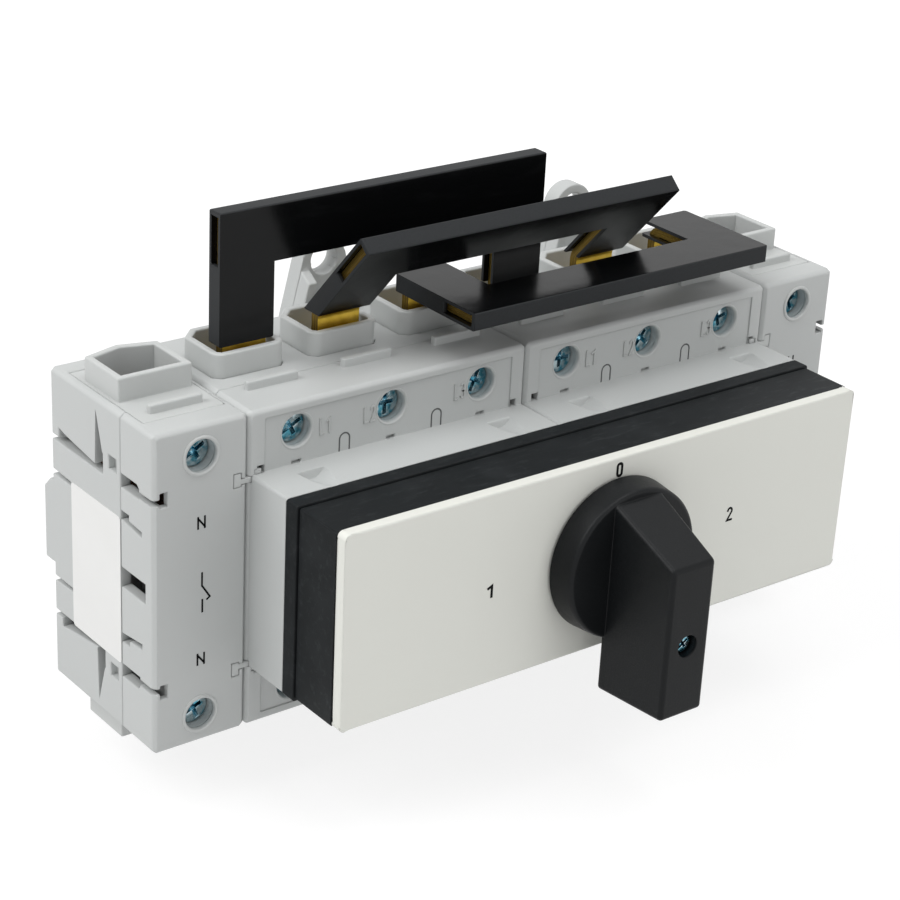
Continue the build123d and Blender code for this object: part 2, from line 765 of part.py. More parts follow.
def collar_sketch(item, height, grow=0.0):
    """The outlines of all a block's collars at one height."""
    collar = collar_outline(item, grow)
    with BuildSketch(Plane.XY.offset(height)) as outline:
        with Locations(*[(pole, -COLLAR_FRONT) for pole in item.poles]):
            add(collar)
    return outline.sketch


def make_shroud(item):
    """The upper shroud: socket collars on a carrying plate, or on the end block's top panel."""
    rim = HALF_HEIGHT + COLLAR_HEIGHT
    with BuildPart() as shroud:
        if item.neutral:
            x, depth = panel_limits(item)
            plate = (CEILING, HALF_HEIGHT)
            block(x, depth, plate)
            middle = BODY_DEPTH - RIDGE_BACK
            depth = (middle - RIDGE_THICKNESS / 2, middle + RIDGE_THICKNESS / 2)
            x = (item.centre - RIDGE_WIDTH / 2, item.centre + RIDGE_WIDTH / 2)
            block(x, depth, (CEILING, HALF_HEIGHT + RIDGE_HEIGHT))
        else:
            x = (item.inner_face(-1) + FIT, item.inner_face(1) - FIT)
            depth = (COLLAR_FRONT - COLLAR_LENGTH - SHROUD_MARGIN, COLLAR_FRONT + SHROUD_MARGIN)
            plate = (CEILING - FIT - SHROUD_PLATE, CEILING - FIT)
            block(x, depth, plate)
        extrude(collar_sketch(item, plate[0]), amount=rim - plate[0])
        bore = collar_sketch(item, plate[0] - FIT, -COLLAR_WALL)
        extrude(bore, amount=rim - plate[0] + 2 * FIT, mode=Mode.SUBTRACT)
    return shroud.part


def make_cages():
    """Upper box clamps, one to a pole, open upwards for the conductor."""
    with BuildPart() as cages:
        for item in BLOCKS:
            for pole in item.poles:
                x = (pole - CAGE_WIDTH / 2, pole + CAGE_WIDTH / 2)
                z = (CAGE_TOP - CAGE_HEIGHT, CAGE_TOP)
                block(x, (CAGE_BACK, CAGE_FRONT), z)
                x = (x[0] + CAGE_WALL, x[1] - CAGE_WALL)
                depth = (CAGE_BACK + CAGE_WALL, CAGE_FRONT - CAGE_WALL)
                block(x, depth, (z[0] - 1, z[1] + 1), mode=Mode.SUBTRACT)
    return cages.part


def make_screws():
    """Upper terminal screws, seated on their clamps and recessed in the cover's guides."""
    with BuildPart() as screws:
        for item in BLOCKS:
            for pole in item.poles:
                with BuildSketch(front_plane(CAGE_FRONT)):
                    with Locations((pole, SCREW_HEIGHT)):
                        Circle(SCREW_RADIUS)
                extrude(amount=BODY_DEPTH - SCREW_RECESS - CAGE_FRONT)
    return screws.part


def make_fixed_contacts():
    """Upper copper straps: a tongue in the cage, bent round to an arm with a contact tip."""
    with BuildPart() as contacts:
        for item in BLOCKS:
            for pole in item.poles:
                side = item.closing
                outer = pole + side * item.reach()
                with BuildSketch(front_plane(STRAP_BACK)):
                    with BuildLine():
                        Polyline(
                            (pole - side * STRAP_WIDTH / 2, CAGE_TOP),
                            (pole + side * STRAP_WIDTH / 2, CAGE_TOP),
                            (pole + side * STRAP_WIDTH / 2, STRAP_FOOT + ARM_TAIL / 2),
                            (outer, STRAP_FOOT),
                            (outer, ARM_LOW),
                            (outer - side * ARM_TAIL, ARM_LOW),
                            (pole - side * STRAP_WIDTH / 2, STRAP_FOOT),
                            close=True,
                        )
                    make_face()
                extrude(amount=STRAP_THICKNESS)
                arm = (outer, outer - side * STRAP_THICKNESS)
                block(arm, (STRAP_BACK, BODY_DEPTH - ARM_FRONT_BACK), (ARM_LOW, STRAP_FOOT))
                face = outer - side * STRAP_THICKNESS
                contact_tip(face, -side)
    return contacts.part


def contact_tip(face, direction, sign=1):
    """A square contact tip standing on a face that looks along X."""
    half = TIP_SIZE / 2
    x = (face - direction * FIT, face + direction * TIP_THICKNESS)
    depth = (BODY_DEPTH - TIP_BACK - half, BODY_DEPTH - TIP_BACK + half)
    block(x, depth, (sign * (TIP_HEIGHT - half), sign * (TIP_HEIGHT + half)))


def make_blades(item):
    """The moving contacts of a block: one bridging blade with two tips to each pole."""
    with BuildPart() as blades:
        for pole in item.poles:
            face = item.blade_face(pole)
            x = (face, face - item.closing * BLADE_THICKNESS)
            block(x, (BLADE_BACK, BLADE_FRONT), (-BLADE_HEIGHT / 2, BLADE_HEIGHT / 2))
            for sign in (1, -1):
                contact_tip(face, item.closing, sign)
    return blades.part


def carrier_end(item, side):
    """A switch carrier stops short of the side wall by the travel and a running gap."""
    return item.inner_face(side) - side * (SLIDE_TRAVEL + RUNNING_GAP)


def carrier_yokes(item):
    """Yokes behind the carrier's bar, each with a slot for its blade."""
    for pole in item.poles:
        face = item.blade_face(pole)
        back = face - item.closing * BLADE_THICKNESS
        x = (face + item.closing * YOKE_WALL, back - item.closing * YOKE_WALL)
        depth = (BLADE_BACK - YOKE_WALL, CARRIER_BACK + FIT)
        block(x, depth, (-YOKE_HEIGHT / 2, YOKE_HEIGHT / 2))
        x = (face + item.closing * FIT, back - item.closing * FIT)
        depth = (BLADE_BACK - FIT, BLADE_FRONT + FIT)
        block(x, depth, (-YOKE_HEIGHT, YOKE_HEIGHT), mode=Mode.SUBTRACT)


def make_switch_carrier(item):
    """The contact carrier of a switch block, with a socket for the slide's peg."""
    z = (-CARRIER_HEIGHT / 2, CARRIER_HEIGHT / 2)
    with BuildPart() as carrier:
        block((carrier_end(item, -1), carrier_end(item, 1)), (CARRIER_BACK, CARRIER_FRONT), z)
        x = (item.centre - PEG_BOSS_WIDTH / 2, item.centre + PEG_BOSS_WIDTH / 2)
        block(x, (CARRIER_BACK, CARRIER_FRONT), (-PEG_BOSS_WIDTH / 2, PEG_BOSS_WIDTH / 2))
        carrier_yokes(item)
        with BuildSketch(front_plane(CARRIER_FRONT - PEG_BITE)):
            with Locations((item.centre, 0)):
                Circle(PEG_RADIUS + JOURNAL_FIT)
        extrude(amount=PEG_BITE + FIT, mode=Mode.SUBTRACT)
        for side in (-1, 1):
            end = carrier_end(item, side)
            plug_block((end + side, end - side * (PLUG_BITE + FIT)), FIT, Mode.SUBTRACT)
    return carrier.part


def plug_block(x, grow, mode=Mode.ADD):
    """The plug that couples an end block's carrier to its neighbour."""
    middle = (CARRIER_FRONT + CARRIER_BACK) / 2
    half_length = PLUG_LENGTH / 2 + grow
    half_height = PLUG_HEIGHT / 2 + grow
    block(x, (middle - half_length, middle + half_length), (-half_height, half_height), mode=mode)


def make_neutral_carrier(item, neighbour):
    """The contact carrier of an end block, reaching through the side windows to its neighbour."""
    z = (-CARRIER_HEIGHT / 2, CARRIER_HEIGHT / 2)
    near = carrier_end(neighbour, item.closing) + item.closing * FIT
    far = item.blade_face(item.poles[0]) + item.closing * YOKE_WALL
    with BuildPart() as carrier:
        block((far, near), (CARRIER_BACK, CARRIER_FRONT), z)
        carrier_yokes(item)
        plug_block((near + item.closing, near - item.closing * PLUG_BITE), 0.0)
    return carrier.part


def make_clips():
    """Dog-bone clips that join each end block to its neighbour, pushed in from the front."""
    with BuildPart() as clips:
        for side in (-1, 1):
            for sign in (1, -1):
                with BuildSketch(front_plane(BODY_DEPTH - CLIP_DEPTH)):
                    clip_outline(side * SWITCH_WIDTH, sign)
                extrude(amount=CLIP_DEPTH - FIT)
    return clips.part


def make_latch(item):
    """A rail latch that slides down in its guides against a spring."""
    x = item.centre + LATCH_OFFSET
    top = -RAIL_HEIGHT / 2 - FIT
    nose = RAIL_FACE_DEPTH - RAIL_THICKNESS - RUNNING_GAP
    low = -HALF_HEIGHT + EDGE_CHAMFER - LATCH_TAB_LENGTH
    half = LATCH_WIDTH / 2
    neck = LATCH_NECK_WIDTH / 2
    with BuildPart() as latch:
        body = (LATCH_LIP + RUNNING_GAP, RAIL_FACE_DEPTH - RUNNING_GAP)
        block((x - half, x + half), body, (low, top))
        block((x - neck, x + neck), (0, body[1]), (low, top))
        with BuildSketch(side_plane(x - neck)):
            with BuildLine():
                Polyline(
                    (0, top - FIT),
                    (0, top),
                    (-nose / 2, top + RAIL_GRIP),
                    (-nose, top + RAIL_GRIP),
                    (-nose, top - FIT),
                    close=True,
                )
            make_face()
        extrude(amount=LATCH_NECK_WIDTH)
        with BuildSketch(front_plane(-1)):
            with Locations((x, low + LATCH_TAB_LENGTH / 2)):
                Rectangle(LATCH_SLOT_WIDTH, LATCH_SLOT_HEIGHT)
        extrude(amount=RAIL_FACE_DEPTH + 1, mode=Mode.SUBTRACT)
        ends = latch.edges().filter_by(Axis.Y).group_by(Axis.Z)[0]
        chamfer(ends, LATCH_SLOT_HEIGHT / 2)
    return latch.part


# Mechanism housing
HOUSING_WIDTH = 2 * (SWITCH_WIDTH - MODULE_GAP / 2 - ESCUTCHEON_INSET)
GUIDE_LOW = SLIDE_LOW + SLIDE_HEIGHT + RUNNING_GAP


def make_frame():
    """The mechanism frame: a shallow tray with the slide's guides and the shaft's rear bearing."""
    with BuildPart() as frame:
        with BuildSketch(front_plane(ESCUTCHEON_FRONT)) as outline:
            Rectangle(HOUSING_WIDTH, ESCUTCHEON_HEIGHT)
            chamfer(outline.vertices(), MECHANISM_CHAMFER)
        extrude(amount=FRAME_DEPTH)
        x = HOUSING_WIDTH / 2 - MECHANISM_WALL
        z = ESCUTCHEON_HEIGHT / 2 - MECHANISM_WALL
        depth = (ESCUTCHEON_FRONT + FRAME_PLATE, FRAME_FRONT + FIT)
        block((-x, x), depth, (-z, z), mode=Mode.SUBTRACT)
        reach = SWITCH_WIDTH / 2
        for middle in (-reach, 0, reach):
            limits = (middle - SLIDE_END_WIDTH, middle + SLIDE_END_WIDTH)
            depth = (ESCUTCHEON_FRONT + FRAME_PLATE / 2, SLIDE_FRONT)
            block(limits, depth, (GUIDE_LOW, GUIDE_LOW + MECHANISM_WALL))
        low = -SLIDE_END_DROP - RUNNING_GAP
        for middle in (-reach, reach):
            limits = (middle - SLIDE_END_WIDTH, middle + SLIDE_END_WIDTH)
            block(limits, depth, (low - MECHANISM_WALL, low))
            peg_slot(middle, (ESCUTCHEON_FRONT - FIT, ESCUTCHEON_FRONT + 2 * FRAME_PLATE))
        with BuildSketch(front_plane(ESCUTCHEON_FRONT - FIT)):
            Circle(TAIL_RADIUS + JOURNAL_FIT)
        extrude(amount=2 * FRAME_PLATE, mode=Mode.SUBTRACT)
    return frame.part


def detent_heights():
    """Heights of the detent strip's underside, clear of the cam, and of its top."""
    low = CAM_RADIUS + RUNNING_GAP + DETENT_NOSE
    return low, low + DETENT_STRIP


def make_mechanism_cover():
    """The mechanism cover: a deep tray facing back, with the shaft's front bearing."""
    back = FRAME_FRONT + FIT
    width = HOUSING_WIDTH - 2 * COVER_INSET
    height = ESCUTCHEON_HEIGHT - 2 * COVER_INSET
    low, high = detent_heights()
    with BuildPart() as cover:
        with BuildSketch(front_plane(back)) as outline:
            Rectangle(width, height)
            chamfer(outline.vertices(), MECHANISM_CHAMFER)
        extrude(amount=COVER_DEPTH)
        x = width / 2 - MECHANISM_WALL
        z = height / 2 - MECHANISM_WALL
        floor = COVER_FRONT - MECHANISM_WALL
        block((-x, x), (back - FIT, floor), (-z, z), mode=Mode.SUBTRACT)
        for side in (1, -1):
            middle = side * DETENT_SPAN / 2
            limits = (middle - DETENT_POST / 2, middle + DETENT_POST / 2)
            depth = (CAM_BACK, floor + FIT)
            block(limits, depth, (low - DETENT_POST, high + DETENT_POST))
            block(limits, (CAM_BACK - FIT, CAM_BACK + CAM_THICKNESS + FIT),
                  (low - FIT, high + FIT), mode=Mode.SUBTRACT)
        with BuildSketch(front_plane(floor - FIT)):
            Circle(JOURNAL_RADIUS + JOURNAL_FIT)
        extrude(amount=MECHANISM_WALL + 2 * FIT, mode=Mode.SUBTRACT)
    return cover.part


def make_plate():
    """The front plate, with rounded corners and a hole for the shaft."""
    width = HOUSING_WIDTH - 2 * PLATE_MARGIN
    with BuildPart() as plate:
        with BuildSketch(front_plane(COVER_FRONT)):
            RectangleRounded(width, PLATE_HEIGHT, PLATE_CORNER_RADIUS)
        extrude(amount=PLATE_DEPTH)
        with BuildSketch(front_plane(COVER_FRONT - FIT)):
            Circle(PLATE_HOLE_RADIUS)
        extrude(amount=PLATE_DEPTH + 2 * FIT, mode=Mode.SUBTRACT)
    return plate.part


# Gearing
def involute(angle):
    return tan(angle) - angle


def tooth_outline(centre_angle):
    """One pinion tooth from root to tip and back, as (x, z) points about the shaft."""
    base = PITCH_RADIUS * cos(radians(PRESSURE_ANGLE))
    root = PITCH_RADIUS - DEDENDUM * TOOTH_MODULE
    tip = PITCH_RADIUS + ADDENDUM * TOOTH_MODULE
    half = (pi * TOOTH_MODULE / 2 - BACKLASH) / (2 * PITCH_RADIUS)
    half += involute(radians(PRESSURE_ANGLE))
    stations = [base, PITCH_RADIUS, tip]
    flank = [(root, half)] + [(r, half - involute(acos(base / r))) for r in stations]
    points = [(r, centre_angle + turn) for r, turn in flank]
    points += [(r, centre_angle - turn) for r, turn in reversed(flank)]
    return [(r * cos(a), r * sin(a)) for r, a in points]


def make_shaft():
    """The drive shaft: tail journal, pinion, detent cam, front journal and handle square."""
    teeth = []
    for i in range(PINION_TEETH):
        teeth += tooth_outline(pi / 2 - 2 * pi * (i + 0.5) / PINION_TEETH)
    with BuildPart() as shaft:
        with BuildSketch(front_plane(ESCUTCHEON_FRONT + FIT)):
            Circle(TAIL_RADIUS)
        extrude(amount=SLIDE_BACK - ESCUTCHEON_FRONT)
        with BuildSketch(front_plane(SLIDE_BACK)):
            Polygon(*teeth, align=None)
        extrude(amount=CAM_BACK + FIT - SLIDE_BACK)
        with BuildSketch(front_plane(CAM_BACK + FIT)):
            Circle(JOURNAL_RADIUS)
        extrude(amount=COVER_FRONT - CAM_BACK)
        with BuildSketch(front_plane(CAM_BACK)):
            Circle(CAM_RADIUS)
            with PolarLocations(CAM_RADIUS, 4):
                Circle(CAM_NOTCH_RADIUS, mode=Mode.SUBTRACT)
        extrude(amount=CAM_THICKNESS)
        with BuildSketch(front_plane(COVER_FRONT)):
            Rectangle(SHAFT_SQUARE, SHAFT_SQUARE)
        extrude(amount=KNOB_BACK + KNOB_BORE_DEPTH - FIT - COVER_FRONT)
    return shaft.part


def make_slide():
    """The transfer slide: a bar with a rack above the pinion, and a peg behind each end."""
    pitch = pi * TOOTH_MODULE
    lean = tan(radians(PRESSURE_ANGLE))
    tip = PITCH_RADIUS - ADDENDUM * TOOTH_MODULE
    half = (pitch / 2 - BACKLASH) / 2
    reach = SWITCH_WIDTH / 2 + SLIDE_END_WIDTH / 2
    with BuildPart() as slide:
        with BuildSketch(front_plane(SLIDE_BACK)):
            with Locations((0, SLIDE_LOW + SLIDE_HEIGHT / 2)):
                Rectangle(2 * reach, SLIDE_HEIGHT)
            for side in (1, -1):
                low = -SLIDE_END_DROP
                high = SLIDE_LOW + SLIDE_HEIGHT
                with Locations((side * SWITCH_WIDTH / 2, (low + high) / 2)):
                    Rectangle(SLIDE_END_WIDTH, high - low)
            for i in range(RACK_TEETH):
                x = pitch * (i - (RACK_TEETH - 1) / 2)
                root_half = half + (SLIDE_LOW - PITCH_RADIUS) * lean
                tip_half = half - (PITCH_RADIUS - tip) * lean
                Polygon(
                    (x - root_half, SLIDE_LOW),
                    (x - tip_half, tip),
                    (x + tip_half, tip),
                    (x + root_half, SLIDE_LOW),
                    align=None,
                )
        extrude(amount=SLIDE_THICKNESS)
        peg_end = CARRIER_FRONT - PEG_BITE + FIT
        for side in (1, -1):
            with BuildSketch(front_plane(peg_end)):
                with Locations((side * SWITCH_WIDTH / 2, 0)):
                    Circle(PEG_RADIUS)
            extrude(amount=SLIDE_BACK + FIT - peg_end)
    return slide.part


def make_detent():
    """The detent strip: a bowed leaf whose nose rides over the cam, held in two posts."""
    low, high = detent_heights()
    half = DETENT_SPAN / 2
    nose = DETENT_NOSE
    with BuildPart() as detent:
        with BuildSketch(front_plane(CAM_BACK)):
            with BuildLine():
                Polyline(
                    (-half, low),
                    (-2 * nose, low),
                    (-nose / 2, low - nose),
                    (nose / 2, low - nose),
                    (2 * nose, low),
                    (half, low),
                    (half, high),
                    (2 * nose - DETENT_STRIP / 2, high),
                    (nose / 2 - DETENT_STRIP / 2, high - nose),
                    (-nose / 2 + DETENT_STRIP / 2, high - nose),
                    (-2 * nose + DETENT_STRIP / 2, high),
                    (-half, high),
                    close=True,
                )
            make_face()
        extrude(amount=CAM_THICKNESS)
    return detent.part


def make_grip():
    """The grip by itself: narrower in front, its nose sloping back to the top of the disc."""
    back_half = GRIP_ROOT_WIDTH / 2
    front_half = GRIP_FRONT_WIDTH / 2
    with BuildPart() as grip:
        with BuildSketch(side_plane(-back_half)):
            with BuildLine():
                Polyline(
                    (-GRIP_BACK, -GRIP_BOTTOM),
                    (-GRIP_FRONT, -GRIP_FRONT_BOTTOM),
                    (-GRIP_FRONT, GRIP_FRONT_TOP),
                    (-DISC_FRONT, GRIP_TOP),
                    (-GRIP_BACK, GRIP_TOP),
                    close=True,
                )
            make_face()
        extrude(amount=GRIP_ROOT_WIDTH)
        with BuildSketch(Plane.XY.offset(-GRIP_BOTTOM)):
            with BuildLine():
                Polyline(
                    (-back_half, -GRIP_BACK),
                    (-front_half, -GRIP_FRONT),
                    (front_half, -GRIP_FRONT),
                    (back_half, -GRIP_BACK),
                    close=True,
                )
            make_face()
        extrude(amount=GRIP_BOTTOM + GRIP_TOP, mode=Mode.INTERSECT)
        front = grip.faces().sort_by(Axis.Y)[0]
        chamfer(front.edges(), GRIP_EDGE_CHAMFER)
    return grip.part


def make_knob():
    """The rotary handle: a round skirt with a tapered grip that hangs past its lower edge."""
    grip = make_grip()
    half_bore = SHAFT_SQUARE / 2 + JOURNAL_FIT
    with BuildPart() as knob:
        with BuildSketch(front_plane(KNOB_BACK)):
            Circle(KNOB_RADIUS)
        with BuildSketch(front_plane(DISC_FRONT)):
            Circle(KNOB_RIM_RADIUS)
        loft()
        rim = knob.faces().sort_by(Axis.Y)[0]
        chamfer(rim.edges(), KNOB_EDGE_CHAMFER)
        add(grip)
        bore = (-half_bore, half_bore)
        block(bore, (KNOB_BACK - FIT, KNOB_BACK + KNOB_BORE_DEPTH), bore, mode=Mode.SUBTRACT)
        hole_back = GRIP_FRONT - KNOB_SCREW_RECESS - KNOB_SCREW_HEAD
        with BuildSketch(front_plane(hole_back)):
            with Locations((0, -KNOB_SCREW_DROP)):
                Circle(KNOB_SCREW_HOLE)
        extrude(amount=KNOB_SCREW_RECESS + KNOB_SCREW_HEAD + FIT, mode=Mode.SUBTRACT)
        with BuildSketch(front_plane(hole_back - KNOB_SCREW_LENGTH)):
            with Locations((0, -KNOB_SCREW_DROP)):
                Circle(KNOB_SCREW_SHANK + JOURNAL_FIT)
        extrude(amount=KNOB_SCREW_LENGTH + FIT, mode=Mode.SUBTRACT)
    return knob.part


def make_knob_screw():
    """The clamping screw recessed in the front of the grip."""
    head_back = GRIP_FRONT - KNOB_SCREW_RECESS - KNOB_SCREW_HEAD + JOURNAL_FIT
    with BuildPart() as screw:
        with BuildSketch(front_plane(head_back)):
            with Locations((0, -KNOB_SCREW_DROP)):
                Circle(KNOB_SCREW_RADIUS)
        extrude(amount=KNOB_SCREW_HEAD)
        with BuildSketch(front_plane(head_back - KNOB_SCREW_LENGTH + FIT)):
            with Locations((0, -KNOB_SCREW_DROP)):
                Circle(KNOB_SCREW_SHANK)
        extrude(amount=KNOB_SCREW_LENGTH)
    return screw.part


# Bridging bars
@dataclass
class Bridge:
    """One bridging bar: the phase it joins, and how its sheath leans and where it stands."""

    name: str
    phase: int
    lean: float
    pivot_height: float
    foot: float
    top: float

    @property
    def legs(self):
        left = -SWITCH_WIDTH / 2 + POLE_PITCH * (self.phase - (POLE_COUNT - 1) / 2)
        return left, left + SWITCH_WIDTH

    @property
    def direction(self):
        """The way the sheath rises from its pivot, as (y, z)."""
        angle = radians(self.lean)
        return -sin(angle), cos(angle)

    def plane(self):
        """Sketch plane in the middle of the sheath: its x is X, its y runs up the legs."""
        along = self.direction
        normal = (0, -along[1], along[0])
        return Plane((0, -BRIDGE_DEPTH, self.pivot_height), x_dir=(1, 0, 0), z_dir=normal)

    def corner(self, offset):
        """Where one brass sheet folds, given its offset from the middle sheet."""
        y, z = self.direction
        return -BRIDGE_DEPTH - offset, self.pivot_height + offset * y / (1 + z)

    def along(self, offset, distance):
        """A point on a sheet, at a distance past the pivot along the sheath."""
        y, z = self.direction
        corner = self.corner(offset)
        reach = distance + offset * y / (1 + z)
        return corner[0] + reach * y, corner[1] + reach * z


UPRIGHT_BRIDGE_RISE = 8.0
LEANING_BRIDGE_RISE = 8.1
FLAT_BRIDGE_RISE = 10.2
BRIDGES = (
    Bridge("phase_1", phase=0, lean=0.0, pivot_height=HALF_HEIGHT + UPRIGHT_BRIDGE_RISE, foot=-2.1, top=27.2),
    Bridge("phase_2", phase=1, lean=42.0, pivot_height=HALF_HEIGHT + LEANING_BRIDGE_RISE, foot=0.4, top=28.6),
    Bridge("phase_3", phase=2, lean=90.0, pivot_height=HALF_HEIGHT + FLAT_BRIDGE_RISE, foot=-2.1, top=26.2),
)


def portal(legs, half_leg, foot, top, beam):
    """A portal outline: two legs joined by a beam at the top."""
    left, right = legs
    for leg in legs:
        with Locations((leg, (foot + top) / 2)):
            Rectangle(2 * half_leg, top - foot)
    with Locations(((left + right) / 2, top - beam / 2)):
        Rectangle(right - left + 2 * half_leg, beam)


def make_sheath(bridge):
    """The moulded sheath: closed over the beam, open at the feet and along the legs' inner sides."""
    half_leg = BRIDGE_LEG_WIDTH / 2
    inner_top = bridge.top - BRIDGE_WALL
    inner_beam = BRIDGE_BEAM_HEIGHT - 2 * BRIDGE_WALL
    start = -BRIDGE_THICKNESS
    with BuildPart() as sheath:
        with BuildSketch(bridge.plane()):
            portal(bridge.legs, half_leg, min(bridge.foot, start), bridge.top, BRIDGE_BEAM_HEIGHT)
        extrude(amount=BRIDGE_THICKNESS / 2, both=True)
        with BuildSketch(bridge.plane()):
            portal(bridge.legs, half_leg - BRIDGE_WALL, 2 * start, inner_top, inner_beam)
            for side, leg in zip((1, -1), bridge.legs):
                inner = leg + side * (half_leg - BRIDGE_WALL / 2)
                low, high = 2 * start, bridge.top - BRIDGE_BEAM_HEIGHT
                with Locations((inner, (low + high) / 2)):
                    Rectangle(BRIDGE_WALL + FIT, high - low)
                outer = leg - side * (half_leg - BRIDGE_WALL / 2)
                with Locations((outer, (BRIDGE_WINDOW_START + inner_top) / 2)):
                    Rectangle(BRIDGE_WALL + FIT, inner_top - BRIDGE_WINDOW_START)
        extrude(amount=BRIDGE_SLOT / 2, both=True, mode=Mode.SUBTRACT)
        if bridge.lean > 0:
            for leg in bridge.legs:
                with BuildSketch(side_plane(leg - half_leg + BRIDGE_WALL)):
                    folded_strip(bridge, 0, 2 * FLAG_BEND_RADIUS, BRIDGE_SLOT)
                extrude(amount=2 * (half_leg - BRIDGE_WALL), mode=Mode.SUBTRACT)
        if bridge.lean < 90:
            foot = bridge.pivot_height + bridge.foot
            split(bisect_by=Plane.XY.offset(foot), keep=Keep.TOP)
        else:
            cut = Plane.XZ.offset(BRIDGE_DEPTH + bridge.foot)
            split(bisect_by=cut, keep=Keep.TOP)
    return sheath.part


def folded_strip(bridge, offset, end, thickness=SHEET_THICKNESS):
    """Edge view of one brass sheet, from its flag in the socket to an end inside the sheath."""
    low = (-BRIDGE_DEPTH - offset, FLAG_END)
    finish = bridge.along(offset, end)
    with BuildLine() as middle:
        if bridge.lean == 0:
            Line(low, finish)
        else:
            FilletPolyline(low, bridge.corner(offset), finish, radius=FLAG_BEND_RADIUS - offset)
    trace(middle.line, line_width=thickness)


def straight_strip(bridge, offset, start, end):
    """Edge view of one brass sheet along the sheath's beam."""
    with BuildLine() as middle:
        Line(bridge.along(offset, start), bridge.along(offset, end))
    trace(middle.line, line_width=SHEET_THICKNESS)


def make_bar(bridge):
    """The laminated brass bar: flags in the sockets, legs and beam inside the sheath."""
    half_flag = FLAG_WIDTH / 2
    beam_low = bridge.top - BRIDGE_BEAM_HEIGHT + BRIDGE_WALL + SHEET_INSET
    beam_high = bridge.top - BRIDGE_WALL - SHEET_INSET
    left, right = bridge.legs
    with BuildPart() as bar:
        for i in range(SHEET_COUNT):
            offset = (i - (SHEET_COUNT - 1) / 2) * (SHEET_THICKNESS + SHEET_GAP)
            for leg in bridge.legs:
                with BuildSketch(side_plane(leg - half_flag)):
                    folded_strip(bridge, offset, beam_high)
                extrude(amount=FLAG_WIDTH)
            with BuildSketch(side_plane(left - half_flag)):
                straight_strip(bridge, offset, beam_low, beam_high)
            extrude(amount=right - left + FLAG_WIDTH)
    return bar.part


def make_label():
    """The rating label on the left end block, left bare."""
    item = next(b for b in BLOCKS if b.neutral and b.closing < 0)
    face = item.centre - item.half_width
    with BuildPart() as label:
        x = (face - LABEL_THICKNESS, face)
        depth = (SEAM_DEPTH - LABEL_WIDTH, SEAM_DEPTH)
        half = LABEL_HEIGHT / 2
        block(x, depth, (LABEL_CENTRE - half, LABEL_CENTRE + half))
    return label.part


def build():
    for item in BLOCKS:
        keep(f"{item.name}_base", make_base(item))
        keep(f"{item.name}_cover", make_cover(item))
        upper = make_shroud(item)
        keep(f"{item.name}_upper_shroud", upper)
        keep(f"{item.name}_lower_shroud", mirrored_down(upper))
        keep(f"{item.name}_moving_contacts", make_blades(item))
        if item.neutral:
            neighbour = next(b for b in BLOCKS if not b.neutral and b.closing == item.closing)
            keep(f"{item.name}_carrier", make_neutral_carrier(item, neighbour))
        else:
            keep(f"{item.name}_carrier", make_switch_carrier(item))
            keep(f"{item.name}_rail_latch", make_latch(item))
    for name, make in (
        ("terminal_cages", make_cages),
        ("terminal_screws", make_screws),
        ("fixed_contacts", make_fixed_contacts),
    ):
        upper = make()
        keep(f"upper_{name}", upper)
        keep(f"lower_{name}", mirrored_down(upper))
    for bridge in BRIDGES:
        keep(f"{bridge.name}_bridge_sheath", make_sheath(bridge))
        keep(f"{bridge.name}_bridge_bar", make_bar(bridge))
    keep("joining_clips", make_clips())
    keep("mechanism_frame", make_frame())
    keep("mechanism_cover", make_mechanism_cover())
    keep("front_plate", make_plate())
    keep("drive_shaft", make_shaft())
    keep("transfer_slide", make_slide())
    keep("detent_spring", make_detent())
    keep("knob", make_knob())
    keep("knob_screw", make_knob_screw())
    keep("rating_label", make_label())


build()
os.makedirs("parts", exist_ok=True)
for name, part in PIECES.items():
    export_step(part, f"parts/{name}.step")
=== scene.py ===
import json
from math import cos, pi, radians, sin

import bmesh
import bpy
from mathutils import Matrix, Vector

